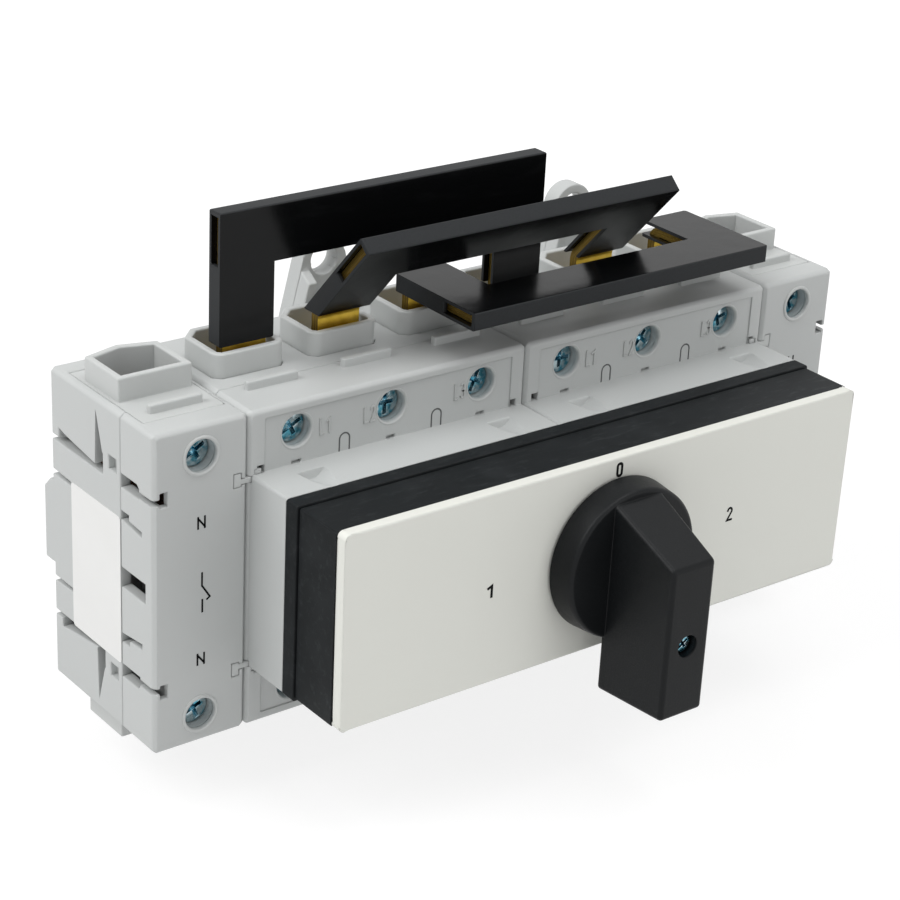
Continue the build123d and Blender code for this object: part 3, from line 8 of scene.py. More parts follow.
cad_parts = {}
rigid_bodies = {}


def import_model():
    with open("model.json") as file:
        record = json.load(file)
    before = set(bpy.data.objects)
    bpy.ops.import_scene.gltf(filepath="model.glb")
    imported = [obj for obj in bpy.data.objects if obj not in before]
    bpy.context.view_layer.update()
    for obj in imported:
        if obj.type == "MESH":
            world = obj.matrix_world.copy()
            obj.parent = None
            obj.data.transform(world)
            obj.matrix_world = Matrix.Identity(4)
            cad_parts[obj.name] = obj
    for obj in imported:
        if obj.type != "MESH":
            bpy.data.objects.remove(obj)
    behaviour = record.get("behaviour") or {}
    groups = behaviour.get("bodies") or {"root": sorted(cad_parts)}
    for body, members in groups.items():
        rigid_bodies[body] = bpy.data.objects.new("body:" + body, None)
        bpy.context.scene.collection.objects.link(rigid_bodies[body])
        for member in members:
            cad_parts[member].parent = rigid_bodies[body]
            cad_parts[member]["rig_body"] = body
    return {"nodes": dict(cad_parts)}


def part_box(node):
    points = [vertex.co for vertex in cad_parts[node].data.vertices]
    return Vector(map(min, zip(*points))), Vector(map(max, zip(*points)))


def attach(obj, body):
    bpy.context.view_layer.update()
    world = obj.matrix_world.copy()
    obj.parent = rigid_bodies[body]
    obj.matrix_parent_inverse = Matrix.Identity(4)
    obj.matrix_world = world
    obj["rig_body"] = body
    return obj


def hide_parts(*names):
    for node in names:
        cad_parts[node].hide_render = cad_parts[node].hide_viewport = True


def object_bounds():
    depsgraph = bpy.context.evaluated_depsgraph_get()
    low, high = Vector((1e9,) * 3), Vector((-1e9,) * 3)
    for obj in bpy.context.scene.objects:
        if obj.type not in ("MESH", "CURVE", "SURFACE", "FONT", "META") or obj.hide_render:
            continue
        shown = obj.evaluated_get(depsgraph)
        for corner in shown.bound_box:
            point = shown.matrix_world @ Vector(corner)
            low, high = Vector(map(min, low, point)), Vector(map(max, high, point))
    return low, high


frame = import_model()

# The looks of a manual transfer switch: moulded greys, a black mechanism with an off-white
# plate, a satin handle, glossy bridges with brass inside, plated screws and printed marks.
# Metres throughout; the object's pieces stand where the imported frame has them.

cad_low, cad_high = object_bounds()
MM = 0.001

# Camera, as the photograph has it
CAMERA_PLACE = (-0.315716, -0.417257, 0.233064)
CAMERA_AZIMUTH = -38.48
CAMERA_ELEVATION = 24.55
CAMERA_ROLL = 3.02
CAMERA_LENS = 96.38
CAMERA_SENSOR = 36.0

# Surroundings: how strongly they light the object, and how the floor fades to plain white
WORLD_STRENGTH = 0.43
FLOOR_SIZE = 6.0
FLOOR_GLOW = 1.15
FLOOR_LIFT = 0.72
FLOOR_FADE_START = 0.16
FLOOR_FADE_END = 0.42

# The blocks from left to right, and the poles of a three-pole block
SIDES = ("left", "right")
BLOCKS = ("left_neutral", "left_switch", "right_switch", "right_neutral")
POLES = (-1, 0, 1)
POLE_PITCH = 24 * MM

# Screw holes, with rings round the neutral poles' and lips in the others
SCREW_HEIGHT = 29.8 * MM
SCREW_HOLE_RADIUS = 3.7 * MM
RING_RADIUS = 4.4 * MM
RING_HEIGHT = 0.35 * MM
MARKING_RECESS = 0.3 * MM
LIP_POINTS = 56
LIP_CREASE = radians(50)

# Screws
SCREW_CROWN = 0.3 * MM
SCREW_TIP = 0.5 * MM
SCREW_POINTS = 40
SCREW_CREASE = radians(35)
RECESS_DEPTH = 1.7 * MM
RECESS_MARGIN = 0.75 * MM
RECESS_TAPER = 0.72
RECESS_CROSS_SHARE = 0.78
RECESS_SLOT_SHARE = 0.14
TERMINAL_SCREW_RADIUS = 3.5 * MM
TERMINAL_SCREW_HEAD = 3.0 * MM
TERMINAL_SHANK_RADIUS = 2.3 * MM
TERMINAL_SCREW_RISE = 0.7 * MM
CLAMP_SCREW_HEAD = 2.4 * MM
CLAMP_SHANK_RADIUS = 1.4 * MM

# How far round each screw was driven, in radians
TERMINAL_SCREW_TURNS = (0.35, 1.2, 0.9, 2.4, 1.9, 0.2, 2.8, 1.5)
CLAMP_SCREW_TURN = 0.6

# Print and raised marks
PRINT_THICKNESS = 0.04 * MM
PRINT_SINK = 0.01 * MM
THIN_STROKE = 0.42 * MM
STROKE_SPACING = 1.9
NEUTRAL_MARK_SIZE = 2.85 * MM
NEUTRAL_MARK_HEIGHTS = {"upper": 14.9 * MM, "lower": -16.7 * MM}
NEUTRAL_MARK_SHIFT = 0.1 * MM
SYMBOL_SHIFT = 0.2 * MM
TERMINAL_MARK_SIZE = 3.8 * MM
TERMINAL_MARK_HEIGHT = 29.35 * MM
TERMINAL_MARK_RELIEF = 0.24 * MM
TERMINAL_MARK_SQUEEZE = 0.62

# Arched grooves between the poles, drawn as dark lines of painted shade
ARCH_FOOT = 22.5 * MM
ARCH_HALF_WIDTH = 1.45 * MM
ARCH_HEIGHT = 4.2 * MM
ARCH_LINE = 0.35 * MM

# Handle: half widths of the grip behind and in front, and its outline seen from the side
GRIP_REACH = 18.5 * MM
GRIP_SET_BACK = 1.4 * MM
GRIP_BACK_HALF = 6.6 * MM
GRIP_FRONT_HALF = 5.9 * MM
GRIP_TOP = 15.6 * MM
GRIP_FRONT_TOP = 7.7 * MM
GRIP_FOOT_RISE = 1.1 * MM
GRIP_ROUNDING = 1.0 * MM
DISC_RADIUS = 17.9 * MM
DISC_RIM_RADIUS = 17.4 * MM
DISC_ROUNDING = 1.0 * MM
DISC_BACK_EASE = 0.3 * MM
DISC_STEPS = 5
DISC_POINTS = 120
HANDLE_SCREW_DROP = 11.2 * MM
HANDLE_HOLE_RADIUS = 2.5 * MM
HANDLE_HOLE_DEPTH = 4.0 * MM
HANDLE_HOLE_POINTS = 48
HANDLE_CREASE = radians(40)

# Edge radii of the mouldings
BLOCK_EDGE = 0.3 * MM
SHROUD_EDGE = 0.4 * MM
FRAME_EDGE = 0.25 * MM
COVER_EDGE = 0.3 * MM
PLATE_EDGE = 0.5 * MM
SHEATH_EDGE = 0.35 * MM
LATCH_EDGE = 0.25 * MM
CLIP_EDGE = 0.15 * MM

# Which edges are rounded, and which stay as creases
ROUNDED_ANGLE = radians(32)
ROUNDED_ROOM = 2.2
NARROW_MEETING = radians(28)
FLAT_ANGLE = radians(12)
ROUNDED_CREASE = radians(48)

BRIDGE_LEANS = {"phase_1": 0.0, "phase_2": 42.0, "phase_3": 90.0}
LABEL_CORNER = 0.8 * MM
LABEL_CORNER_STEPS = 6
LABEL_SETTLE = 0.03 * MM


# Shader expressions
class Field:
    """What a shader node gives out, usable in Python expressions."""

    def __init__(self, shader, socket):
        self.shader = shader
        self.socket = socket

    def _math(self, operation, *values):
        return self.shader.node("ShaderNodeMath", {"operation": operation}, dict(enumerate(values)))

    def __add__(self, other):
        return self._math("ADD", self, other)

    def __radd__(self, other):
        return self._math("ADD", other, self)

    def __sub__(self, other):
        return self._math("SUBTRACT", self, other)

    def __rsub__(self, other):
        return self._math("SUBTRACT", other, self)

    def __mul__(self, other):
        return self._math("MULTIPLY", self, other)

    def __rmul__(self, other):
        return self._math("MULTIPLY", other, self)

    def __abs__(self):
        return self._math("ABSOLUTE", self)

    def most(self, other):
        """The larger of two fields."""
        return self._math("MAXIMUM", self, other)

    def ramp(self, low, high, start=0.0, end=1.0):
        """Runs smoothly from start to end as the field goes from low to high."""
        limits = {"Value": self, "From Min": low, "From Max": high, "To Min": start, "To Max": end}
        return self.shader.node("ShaderNodeMapRange", {"interpolation_type": "SMOOTHSTEP"}, limits)


class Shader:
    """A node tree being filled."""

    def __init__(self, tree):
        self.tree = tree

    def node(self, kind, settings=None, values=None, output=0):
        """Adds a node, applies its settings, feeds its sockets, and gives one output back."""
        node = self.tree.nodes.new(kind)
        for name, value in (settings or {}).items():
            setattr(node, name, value)
        for name, value in (values or {}).items():
            self.feed(node.inputs[name], value)
        return Field(self, node.outputs[output])

    def feed(self, socket, value):
        """Links a field to a socket, or sets the socket's own number or colour."""
        if isinstance(value, Field):
            self.tree.links.new(value.socket, socket)
        elif isinstance(value, (tuple, list)) and socket.type == "RGBA":
            socket.default_value = (*value, 1.0)
        else:
            socket.default_value = value

    def seen_directly(self):
        """1 for rays that show the surroundings as they look: to the camera, mirrored or through."""
        camera, glossy, through = [
            self.node("ShaderNodeLightPath", output=f"Is {kind} Ray")
            for kind in ("Camera", "Glossy", "Transmission")
        ]
        return camera.most(glossy).most(through)


class Finish(Shader):
    """A material being made: one principled surface and the fields that feed it."""

    def __init__(self, name, roughness, metallic=0.0, specular=0.5):
        self.material = bpy.data.materials.new(name)
        self.material.use_nodes = True
        super().__init__(self.material.node_tree)
        self.surface = self.tree.nodes["Principled BSDF"]
        self.set("Roughness", roughness)
        self.set("Metallic", metallic)
        self.set("Specular IOR Level", specular)
        self.place = self.node("ShaderNodeTexCoord", output="Object")
        self.facing = self.node("ShaderNodeTexCoord", output="Normal")

    def set(self, name, value):
        self.feed(self.surface.inputs[name], value)

    def noise(self, size, detail=2.0, stretch=None, roughness=0.5):
        """Noise from 0 to 1 with features of about a size in metres, stretched along an axis."""
        place = self.place
        if stretch:
            values = {"Vector": place, "Scale": stretch}
            place = self.node("ShaderNodeMapping", {"vector_type": "POINT"}, values)
        values = {"Vector": place, "Scale": 1 / size, "Detail": detail, "Roughness": roughness}
        return self.node("ShaderNodeTexNoise", None, values, "Fac")

    def blend(self, share, first, second):
        """A colour between two, by a share from 0 to 1."""
        values = {0: share, 6: first, 7: second}
        return self.node("ShaderNodeMix", {"data_type": "RGBA"}, values, 2)

    def turned_to(self, way):
        """1 where the surface looks along a direction, -1 where it looks the other way."""
        values = {0: self.facing, 1: way}
        return self.node("ShaderNodeVectorMath", {"operation": "DOT_PRODUCT"}, values, "Value")

    def soft_edges(self, radius):
        """A normal that rounds the edges over a small radius."""
        return self.node("ShaderNodeBevel", {"samples": 6}, {"Radius": radius})

    def relief(self, height, depth, strength, under=None):
        """Bumps the surface by a height field, a given depth in metres."""
        values = {"Height": height, "Distance": depth, "Strength": strength}
        if under:
            values["Normal"] = under
        self.set("Normal", self.node("ShaderNodeBump", None, values))


# Finishes
def moulded_plastic(name, tone, shade, roughness, grain_size=0.35 * MM, depth=0.02 * MM):
    """Matt moulded plastic: faint clouding, a fine eroded grain and softly rounded edges."""
    finish = Finish(name, roughness)
    clouds = finish.noise(18 * MM, 3.0)
    specks = finish.noise(0.9 * MM)
    finish.set("Base Color", finish.blend(clouds * 0.7 + specks * 0.3, shade, tone))
    grain = finish.noise(grain_size)
    finish.set("Roughness", roughness - 0.05 + grain * 0.12 + clouds * 0.05)
    finish.relief(grain, depth, 0.5, finish.soft_edges(0.4 * MM))
    return finish.material


def housing_grey():
    return moulded_plastic("housing_grey", (0.520, 0.535, 0.530), (0.495, 0.510, 0.505), 0.46)


def shroud_grey():
    return moulded_plastic("shroud_grey", (0.530, 0.545, 0.538), (0.505, 0.520, 0.513), 0.42)


# Dark grey of the arched lines: painted shade standing in for the shadow inside the grooves
def painted_arch_shade():
    return moulded_plastic("painted_arch_shade", (0.13, 0.135, 0.135), (0.10, 0.105, 0.105), 0.7)


def plate_white():
    tone, shade = (0.760, 0.765, 0.715), (0.735, 0.740, 0.690)
    return moulded_plastic("plate_white", tone, shade, 0.5, grain_size=0.22 * MM, depth=0.012 * MM)


def latch_black():
    return moulded_plastic("latch_black", (0.026, 0.026, 0.027), (0.018, 0.018, 0.019), 0.45)


def carrier_black():
    return moulded_plastic("carrier_black", (0.026, 0.024, 0.023), (0.018, 0.017, 0.017), 0.5)


def mechanism_black():
    """Dull black plastic with a faint handled bloom and short scuffs along the rail."""
    finish = Finish("mechanism_black", 0.5, specular=0.15)
    bloom = finish.noise(9 * MM, 4.0).ramp(0.4, 0.75)
    scuffs = finish.noise(1.6 * MM, 4.0, stretch=(0.3, 1.0, 1.0), roughness=0.7).ramp(0.5, 0.8)
    worn = bloom * 0.35 + scuffs * 0.6
    finish.set("Base Color", finish.blend(worn, (0.008, 0.0095, 0.0105), (0.026, 0.029, 0.031)))
    finish.set("Roughness", 0.52 - scuffs * 0.1 + bloom * 0.06)
    finish.relief(finish.noise(0.4 * MM), 0.02 * MM, 0.6, finish.soft_edges(0.2 * MM))
    return finish.material


def handle_black():
    """Satin grey-black plastic with an eroded grain that catches the light."""
    finish = Finish("handle_black", 0.38, specular=0.16)
    clouds = finish.noise(12 * MM, 3.0)
    grain = finish.noise(0.3 * MM)
    mottle = clouds * 0.5 + grain * 0.5
    finish.set("Base Color", finish.blend(mottle, (0.003, 0.0036, 0.0042), (0.009, 0.0102, 0.0112)))
    finish.set("Roughness", 0.30 + grain * 0.16 + clouds * 0.04)
    finish.relief(grain, 0.05 * MM, 0.9, finish.soft_edges(0.25 * MM))
    return finish.material


def bridge_black(name, face):
    """Bridge sheath: glossy on its two broad faces, where the flow shows, and grained on its edges."""
    finish = Finish(name, 0.3, specular=0.16)
    broad = abs(finish.turned_to(face)).ramp(0.85, 0.97)
    flow = finish.noise(7 * MM, 4.0)
    grain = finish.noise(0.35 * MM)
    streaks = finish.noise(2.5 * MM, 3.0, stretch=(0.25, 1.0, 1.0)).ramp(0.5, 0.85)
    faces = finish.blend(streaks * 0.4, (0.003, 0.0033, 0.0036), (0.010, 0.0105, 0.011))
    edges = finish.blend(grain, (0.012, 0.0135, 0.015), (0.026, 0.028, 0.030))
    finish.set("Base Color", finish.blend(broad, edges, faces))
    glossy = 0.13 + flow * 0.1 + streaks * 0.08
    matt = 0.46 + grain * 0.14
    finish.set("Roughness", broad * glossy + (1 - broad) * matt)
    height = broad * flow * 3.0 + (1 - broad) * grain
    finish.relief(height, 0.03 * MM, 0.6, finish.soft_edges(0.15 * MM))
    return finish.material


def metal(name, tone, shade, roughness, line_size, stretch):
    """Plated or bare metal: drawn lines, a patchy surface and soft edges."""
    finish = Finish(name, roughness, metallic=1.0)
    patches = finish.noise(3 * MM, 4.0).ramp(0.3, 0.7)
    lines = finish.noise(line_size, stretch=stretch)
    finish.set("Base Color", finish.blend(patches, shade, tone))
    finish.set("Roughness", roughness - 0.06 + lines * 0.14 + patches * 0.05)
    finish.relief(lines, 0.01 * MM, 0.5, finish.soft_edges(0.08 * MM))
    return finish.material


def copper_strap():
    tone, shade = (0.34, 0.19, 0.13), (0.25, 0.15, 0.11)
    return metal("copper_strap", tone, shade, 0.36, 0.3 * MM, (1.0, 1.0, 0.2))


def plated_steel():
    tone, shade = (0.66, 0.68, 0.70), (0.54, 0.56, 0.58)
    return metal("plated_steel", tone, shade, 0.3, 0.35 * MM, (1.0, 0.3, 1.0))


def spring_steel():
    tone, shade = (0.60, 0.60, 0.60), (0.50, 0.50, 0.51)
    return metal("spring_steel", tone, shade, 0.25, 0.2 * MM, (0.1, 1.0, 1.0))


def brass_sheet():
    """Sheet brass, much darker and duller on the faces that look along X."""
    finish = Finish("brass_sheet", 0.34, metallic=1.0)
    patches = finish.noise(3 * MM, 4.0).ramp(0.3, 0.7)
    lines = finish.noise(0.4 * MM, stretch=(1.0, 1.0, 0.15))
    # The faces that look along X are made much darker and rougher
    facing_along_x = abs(finish.turned_to((1.0, 0.0, 0.0))).ramp(0.8, 0.95)
    bright = finish.blend(patches, (0.64, 0.43, 0.055), (0.80, 0.56, 0.09))
    finish.set("Base Color", finish.blend(facing_along_x * 0.85, bright, (0.10, 0.065, 0.02)))
    finish.set("Roughness", 0.28 + lines * 0.14 + patches * 0.05 + facing_along_x * 0.15)
    finish.relief(lines, 0.01 * MM, 0.5, finish.soft_edges(0.08 * MM))
    return finish.material


def blue_zinc():
    """Bright blue-passivated zinc, whose film shifts at random from teal to nearly white; the
    near-white patches are also painted highlight.
    """
    finish = Finish("blue_zinc", 0.2, metallic=1.0)
    film = finish.noise(1.6 * MM, 3.0).ramp(0.36, 0.62)
    lines = finish.noise(0.3 * MM)
    # Teal to near-white: the film's own variation, its pale end also standing in as painted highlight
    finish.set("Base Color", finish.blend(film, (0.10, 0.36, 0.47), (0.60, 0.72, 0.76)))
    finish.set("Roughness", 0.14 + lines * 0.16)
    finish.relief(lines, 0.015 * MM, 0.6, finish.soft_edges(0.1 * MM))
    return finish.material


def label_film():
    """White film: nearly smooth, with a faint orange peel and yellowing."""
    finish = Finish("label_film", 0.32)
    clouds = finish.noise(10 * MM, 3.0)
    finish.set("Base Color", finish.blend(clouds, (0.74, 0.74, 0.725), (0.78, 0.78, 0.77)))
    finish.set("Roughness", 0.28 + clouds * 0.1)
    finish.relief(finish.noise(1.2 * MM), 0.02 * MM, 0.4)
    return finish.material


def front_ink():
    """Pad-printed ink, uneven in gloss where it took unevenly."""
    finish = Finish("front_ink", 0.55, specular=0.1)
    patches = finish.noise(0.5 * MM, 3.0)
    finish.set("Base Color", finish.blend(patches, (0.003, 0.003, 0.0032), (0.006, 0.006, 0.0064)))
    finish.set("Roughness", 0.45 + patches * 0.2)
    return finish.material


FINISHES = {
    "housing": housing_grey(),
    "shroud": shroud_grey(),
    "plate": plate_white(),
    "mechanism": mechanism_black(),
    "handle": handle_black(),
    "latch": latch_black(),
    "carrier": carrier_black(),
    "brass": brass_sheet(),
    "copper": copper_strap(),
    "zinc": blue_zinc(),
    "steel": plated_steel(),
    "spring": spring_steel(),
    "label": label_film(),
    "ink": front_ink(),
    "painted_shade": painted_arch_shade(),
}


def dress(node, finish):
    """Gives a carried-over piece its material."""
    materials = frame["nodes"][node].data.materials
    materials.clear()
    materials.append(FINISHES[finish])


def dress_inner_pieces():
    """Finishes of the pieces that stay as the frame has them."""
    for node in frame["nodes"]:
        if node.endswith("_carrier") or node == "transfer_slide":
            dress(node, "carrier")
        elif node.endswith("_contacts"):
            dress(node, "copper")
        elif node.endswith("_bar"):
            dress(node, "brass")
        elif node.endswith(("_cages", "_shaft")):
            dress(node, "steel")
    dress("detent_spring", "spring")


# Making pieces
def placed(name, data):
    """An object in the scene for a mesh, a camera or a light."""
    item = bpy.data.objects.new(name, data)
    bpy.context.scene.collection.objects.link(item)
    return item


def carried(name, mesh, material, body):
    """A finished piece that rides on a body."""
    mesh.materials.append(material)
    piece = placed(name, mesh)
    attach(piece, body)
    return piece


def piece_from(builder, name, finish, body, crease=None):
    """Makes a piece from a filled bmesh; faces that meet below the crease angle shade smoothly."""
    mesh = bpy.data.meshes.new(name)
    bmesh.ops.recalc_face_normals(builder, faces=builder.faces)
    builder.to_mesh(mesh)
    builder.free()
    if crease:
        mesh.shade_smooth()
        mesh.set_sharp_from_angle(angle=crease)
    return carried(name, mesh, FINISHES[finish], body)


def shade_evenly(piece):
    """Keeps large faces flat in shading, next to small rounded ones."""
    weighted = piece.modifiers.new("even_faces", "WEIGHTED_NORMAL")
    weighted.keep_sharp = True


def centre_across(node):
    """The middle of a piece's width."""
    low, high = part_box(node)
    return (low.x + high.x) / 2


def pole_places(side):
    """Where the three poles of a block stand across the switch."""
    centre = centre_across(f"{side}_switch_base")
    return [centre + i * POLE_PITCH for i in POLES]


def neutral_front(side):
    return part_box(f"{side}_neutral_cover")[0].y


def marking_field(side):
    """How far forward the recessed marking field of a three-pole block lies."""
    return neutral_front(side) + MARKING_RECESS


# Rounding of the carried-over mouldings
def reach_from(face, edge):
    """How far a face runs from one of its edges, at right angles to it."""
    start = edge.verts[0].co
    along = (edge.verts[1].co - start).normalized()
    offsets = [v.co - start for v in face.verts]
    return max((o - along * o.dot(along)).length for o in offsets)


def has_room(edge, radius):
    """True where an edge is long enough, and its faces wide enough, to be rounded."""
    narrowest = min(reach_from(face, edge) for face in edge.link_faces)
    return edge.calc_length() > radius / 2 and narrowest > ROUNDED_ROOM * radius


def meets_acutely(edge, chosen):
    """True where an edge runs into another chosen edge at a narrow angle."""
    for vert in edge.verts:
        along = (edge.other_vert(vert).co - vert.co).normalized()
        for other in vert.link_edges:
            if other is edge or other not in chosen:
                continue
            if along.dot((other.other_vert(vert).co - vert.co).normalized()) > cos(NARROW_MEETING):
                return True
    return False


def bevelled(builder, edges, radius, segments):
    """Rounds edges, and gives the result that holds the new faces."""
    return bmesh.ops.bevel(
        builder, geom=edges, offset=radius, offset_type="OFFSET", segments=segments, profile=0.5,
        affect="EDGES", clamp_overlap=False, miter_outer="ARC", loop_slide=False,
    )


def round_edges(builder, radius, segments):
    """Rounds the sharp convex edges that have room for a radius on both sides."""
    sharp = set()
    for edge in builder.edges:
        angle = edge.calc_face_angle(0)
        edge.smooth = angle < FLAT_ANGLE
        if len(edge.link_faces) != 2 or not edge.is_convex or angle < ROUNDED_ANGLE:
            continue
        if has_room(edge, radius):
            sharp.add(edge)
    sharp = [edge for edge in sharp if not meets_acutely(edge, sharp)]
    for face in bevelled(builder, sharp, radius, segments)["faces"]:
        for edge in face.edges:
            edge.smooth = edge.calc_face_angle(0) < ROUNDED_CREASE


def softened(node, radius, material, segments=2):
    """Stands in for a CAD piece with a copy whose sharp convex edges are rounded."""
    source = frame["nodes"][node]
    builder = bmesh.new()
    builder.from_mesh(source.data)
    bmesh.ops.remove_doubles(builder, verts=builder.verts, dist=0.001 * MM)
    round_edges(builder, radius, segments)
    for face in builder.faces:
        face.smooth = True
    mesh = bpy.data.meshes.new(f"{node}_softened")
    builder.to_mesh(mesh)
    builder.free()
    piece = carried(f"{node}_softened", mesh, material, source["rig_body"])
    shade_evenly(piece)
    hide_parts(node)


def soften_blocks():
    """Housings of the four blocks."""
    for block in BLOCKS:
        for piece in ("base", "cover"):
            softened(f"{block}_{piece}", BLOCK_EDGE, FINISHES["housing"])
        for end in ("upper", "lower"):
            node = f"{block}_{end}_shroud"
            softened(node, SHROUD_EDGE, FINISHES["shroud"], segments=3)


def soften_mechanism():
    """The black tray and box behind the front, and the plate."""
    softened("mechanism_frame", FRAME_EDGE, FINISHES["mechanism"])
    softened("mechanism_cover", COVER_EDGE, FINISHES["mechanism"])
    softened("front_plate", PLATE_EDGE, FINISHES["plate"], segments=4)


def soften_bridges():
    """The sheaths, each with a finish that knows which way its broad faces look."""
    for phase, lean in BRIDGE_LEANS.items():
        face = (0.0, -cos(radians(lean)), -sin(radians(lean)))
        black = bridge_black(f"{phase}_bridge_black", face)
        softened(f"{phase}_bridge_sheath", SHEATH_EDGE, black, segments=3)


def soften_latches():
    """Rail latches and the clips that join the blocks."""
    for side in SIDES:
        softened(f"{side}_switch_rail_latch", LATCH_EDGE, FINISHES["latch"])
    softened("joining_clips", CLIP_EDGE, FINISHES["shroud"])


# Print and raised marks
def arc(x, z, across, up, start, end, steps=8):
    """Points on an ellipse about (x, z), from one angle in degrees to another."""
    angles = [radians(start + (end - start) * i / steps) for i in range(steps + 1)]
    return [(x + across * cos(a), z + up * sin(a)) for a in angles]


def ring_of(points):
    return points + points[:1]


# Half width of each character, and its strokes through the middle of the line, in a box two
# units high
CHARACTERS = {
    "0": (0.44, [ring_of(arc(0.0, 0.6, 0.44, 0.4, 0, 180) + arc(0.0, -0.6, 0.44, 0.4, 180, 360))]),
    "1": (0.36, [[(-0.44, 0.52), (0.24, 0.84), (0.24, -1.0)]]),
    "2": (0.46, [arc(0.02, 0.52, 0.42, 0.48, 168, -22, 12) + [(-0.44, -1.0), (0.46, -1.0)]]),
    "3": (0.46, [arc(0.0, 0.5, 0.42, 0.5, 150, -90, 12), arc(0.0, -0.5, 0.46, 0.5, 90, -150, 12)]),
    "L": (0.4, [[(-0.4, 1.0), (-0.4, -1.0), (0.4, -1.0)]]),
    "N": (0.66, [
        [(-0.66, -1.0), (-0.66, 1.0)],
        [(-0.66, 0.84), (0.66, -0.84)],
        [(0.66, -1.0), (0.66, 1.0)],
    ]),
}

# Words, place across and up, height and stroke on the front plate, in millimetres
POSITION_MARKS = (
    ("0", 0.2, 19.4, 3.45, 0.62),
    ("1", -33.2, -0.2, 3.3, 0.6),
    ("2", 34.5, 0.1, 3.45, 0.5),
)

# Words, and how far they stand to the right of their pole, in millimetres
TERMINAL_MARKS = (("L1", 6.9), ("L2", -5.8), ("L3", -6.0))

# Symbol of a switch contact in millimetres: the open blade, and the fixed contact below it
CONTACT_BLADE = ((0, 3.3), (0, 0.4), (1.9, -2.55), (1.25, -3.0))
CONTACT_FOOT = ((0.1, -2.9), (0.1, -5.6))


def mitred(points, width, closed):
    """Both sides of a stroke through (x, z) points; open ends run on by half the width."""
    places = [Vector(p) for p in points]
    if not closed:
        places[0] = places[0] + (places[0] - places[1]).normalized() * width / 2
        places[-1] = places[-1] + (places[-1] - places[-2]).normalized() * width / 2
    count = len(places)
    sides = []
    for i, place in enumerate(places):
        before = places[i - 1] if closed or i else None
        after = places[(i + 1) % count] if closed or i < count - 1 else None
        ways = [(place - before).normalized()] if before is not None else []
        ways += [(after - place).normalized()] if after is not None else []
        normals = [Vector((-way.y, way.x)) for way in ways]
        middle = sum(normals, Vector((0, 0))).normalized()
        reach = middle * (width / 2 / middle.dot(normals[0]))
        sides.append((place + reach, place - reach))
    return sides


def add_stroke(builder, points, width, front, thickness):
    """A raised stroke on a face that looks forwards at y = front."""
    closed = points[0] == points[-1]
    rows = []
    for left, right in mitred(points[:-1] if closed else points, width, closed):
        back, top = front + PRINT_SINK, front - thickness
        corners = ((left, back), (right, back), (right, top), (left, top))
        rows.append([builder.verts.new((p.x, y, p.y)) for p, y in corners])
    pairs = list(zip(rows, rows[1:]))
    if closed:
        pairs.append((rows[-1], rows[0]))
    for first, second in pairs:
        join_rings(builder, first, second)
    if not closed:
        builder.faces.new(rows[0])
        builder.faces.new(rows[-1])


def add_words(builder, words, centre, height, stroke, thickness, squeeze=1.0):
    """Upright characters on a face that looks forwards: centre is the middle of the words on it."""
    scale = (height - stroke) / 2
    gap = stroke * STROKE_SPACING
    half_widths = [CHARACTERS[c][0] * scale * squeeze for c in words]
    across = centre[0] - sum(half_widths) - gap * (len(words) - 1) / 2
    for character, half_width in zip(words, half_widths):
        across += half_width
        for points in CHARACTERS[character][1]:
            on_face = [(across + x * scale * squeeze, centre[2] + z * scale) for x, z in points]
            add_stroke(builder, on_face, stroke, centre[1], thickness)
        across += half_width + gap


def printed(name, words, centre, height, stroke):
    """Characters printed on the front."""
    builder = bmesh.new()
    add_words(builder, words, centre, height, stroke, PRINT_THICKNESS)
    piece_from(builder, name, "ink", "housing")


def position_marks():
    """The positions 1, 0 and 2 on the front plate."""
    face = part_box("front_plate")[0].y
    for words, x, z, height, stroke in POSITION_MARKS:
        printed(f"position_{words}", words, (x * MM, face, z * MM), height * MM, stroke * MM)


def contact_symbol(side, place):
    """The symbol of a switch contact, at a place across and forwards."""
    across, front = place
    builder = bmesh.new()
    for points in (CONTACT_BLADE, CONTACT_FOOT):
        on_face = [(across + x * MM, z * MM) for x, z in points]
        add_stroke(builder, on_face, THIN_STROKE, front, PRINT_THICKNESS)
    piece_from(builder, f"{side}_contact_symbol", "ink", "housing")


def neutral_marks():
    """N at each neutral terminal and the contact symbol between."""
    for side in SIDES:
        front = neutral_front(side)
        x = centre_across(f"{side}_neutral_cover") + NEUTRAL_MARK_SHIFT
        for end, z in NEUTRAL_MARK_HEIGHTS.items():
            name = f"{side}_{end}_neutral_mark"
            printed(name, "N", (x, front, z), NEUTRAL_MARK_SIZE, THIN_STROKE)
        contact_symbol(side, (x + SYMBOL_SHIFT, front))


def terminal_marks():
    """L1, L2 and L3, raised from the marking field beside the upper terminals."""
    for side in SIDES:
        front = marking_field(side)
        for pole, (words, offset) in zip(pole_places(side), TERMINAL_MARKS):
            centre = (pole + offset * MM, front, TERMINAL_MARK_HEIGHT)
            builder = bmesh.new()
            add_words(
                builder, words, centre, TERMINAL_MARK_SIZE, THIN_STROKE, TERMINAL_MARK_RELIEF,
                TERMINAL_MARK_SQUEEZE,
            )
            name = f"{side}_terminal_mark_{words}"
            piece_from(builder, name, "shroud", "housing")


# Turned forms
def turned_ring(builder, radius, y, centre, count):
    """A ring of points about an axis along Y."""
    x, z = centre
    angles = [2 * pi * i / count for i in range(count)]
    return [builder.verts.new((x + radius * cos(a), y, z + radius * sin(a))) for a in angles]


def join_rings(builder, first, second):
    """A band of faces between two closed rows of points."""
    count = len(first)
    for i in range(count):
        builder.faces.new((first[i], first[(i + 1) % count], second[(i + 1) % count], second[i]))


def turned(builder, sections, centre, count, closed=False):
    """A surface turned from (radius, y) sections about an axis along Y; gives its rings."""
    rings = [turned_ring(builder, radius, y, centre, count) for radius, y in sections]
    for first, second in zip(rings, rings[1:] + (rings[:1] if closed else [])):
        join_rings(builder, first, second)
    return rings


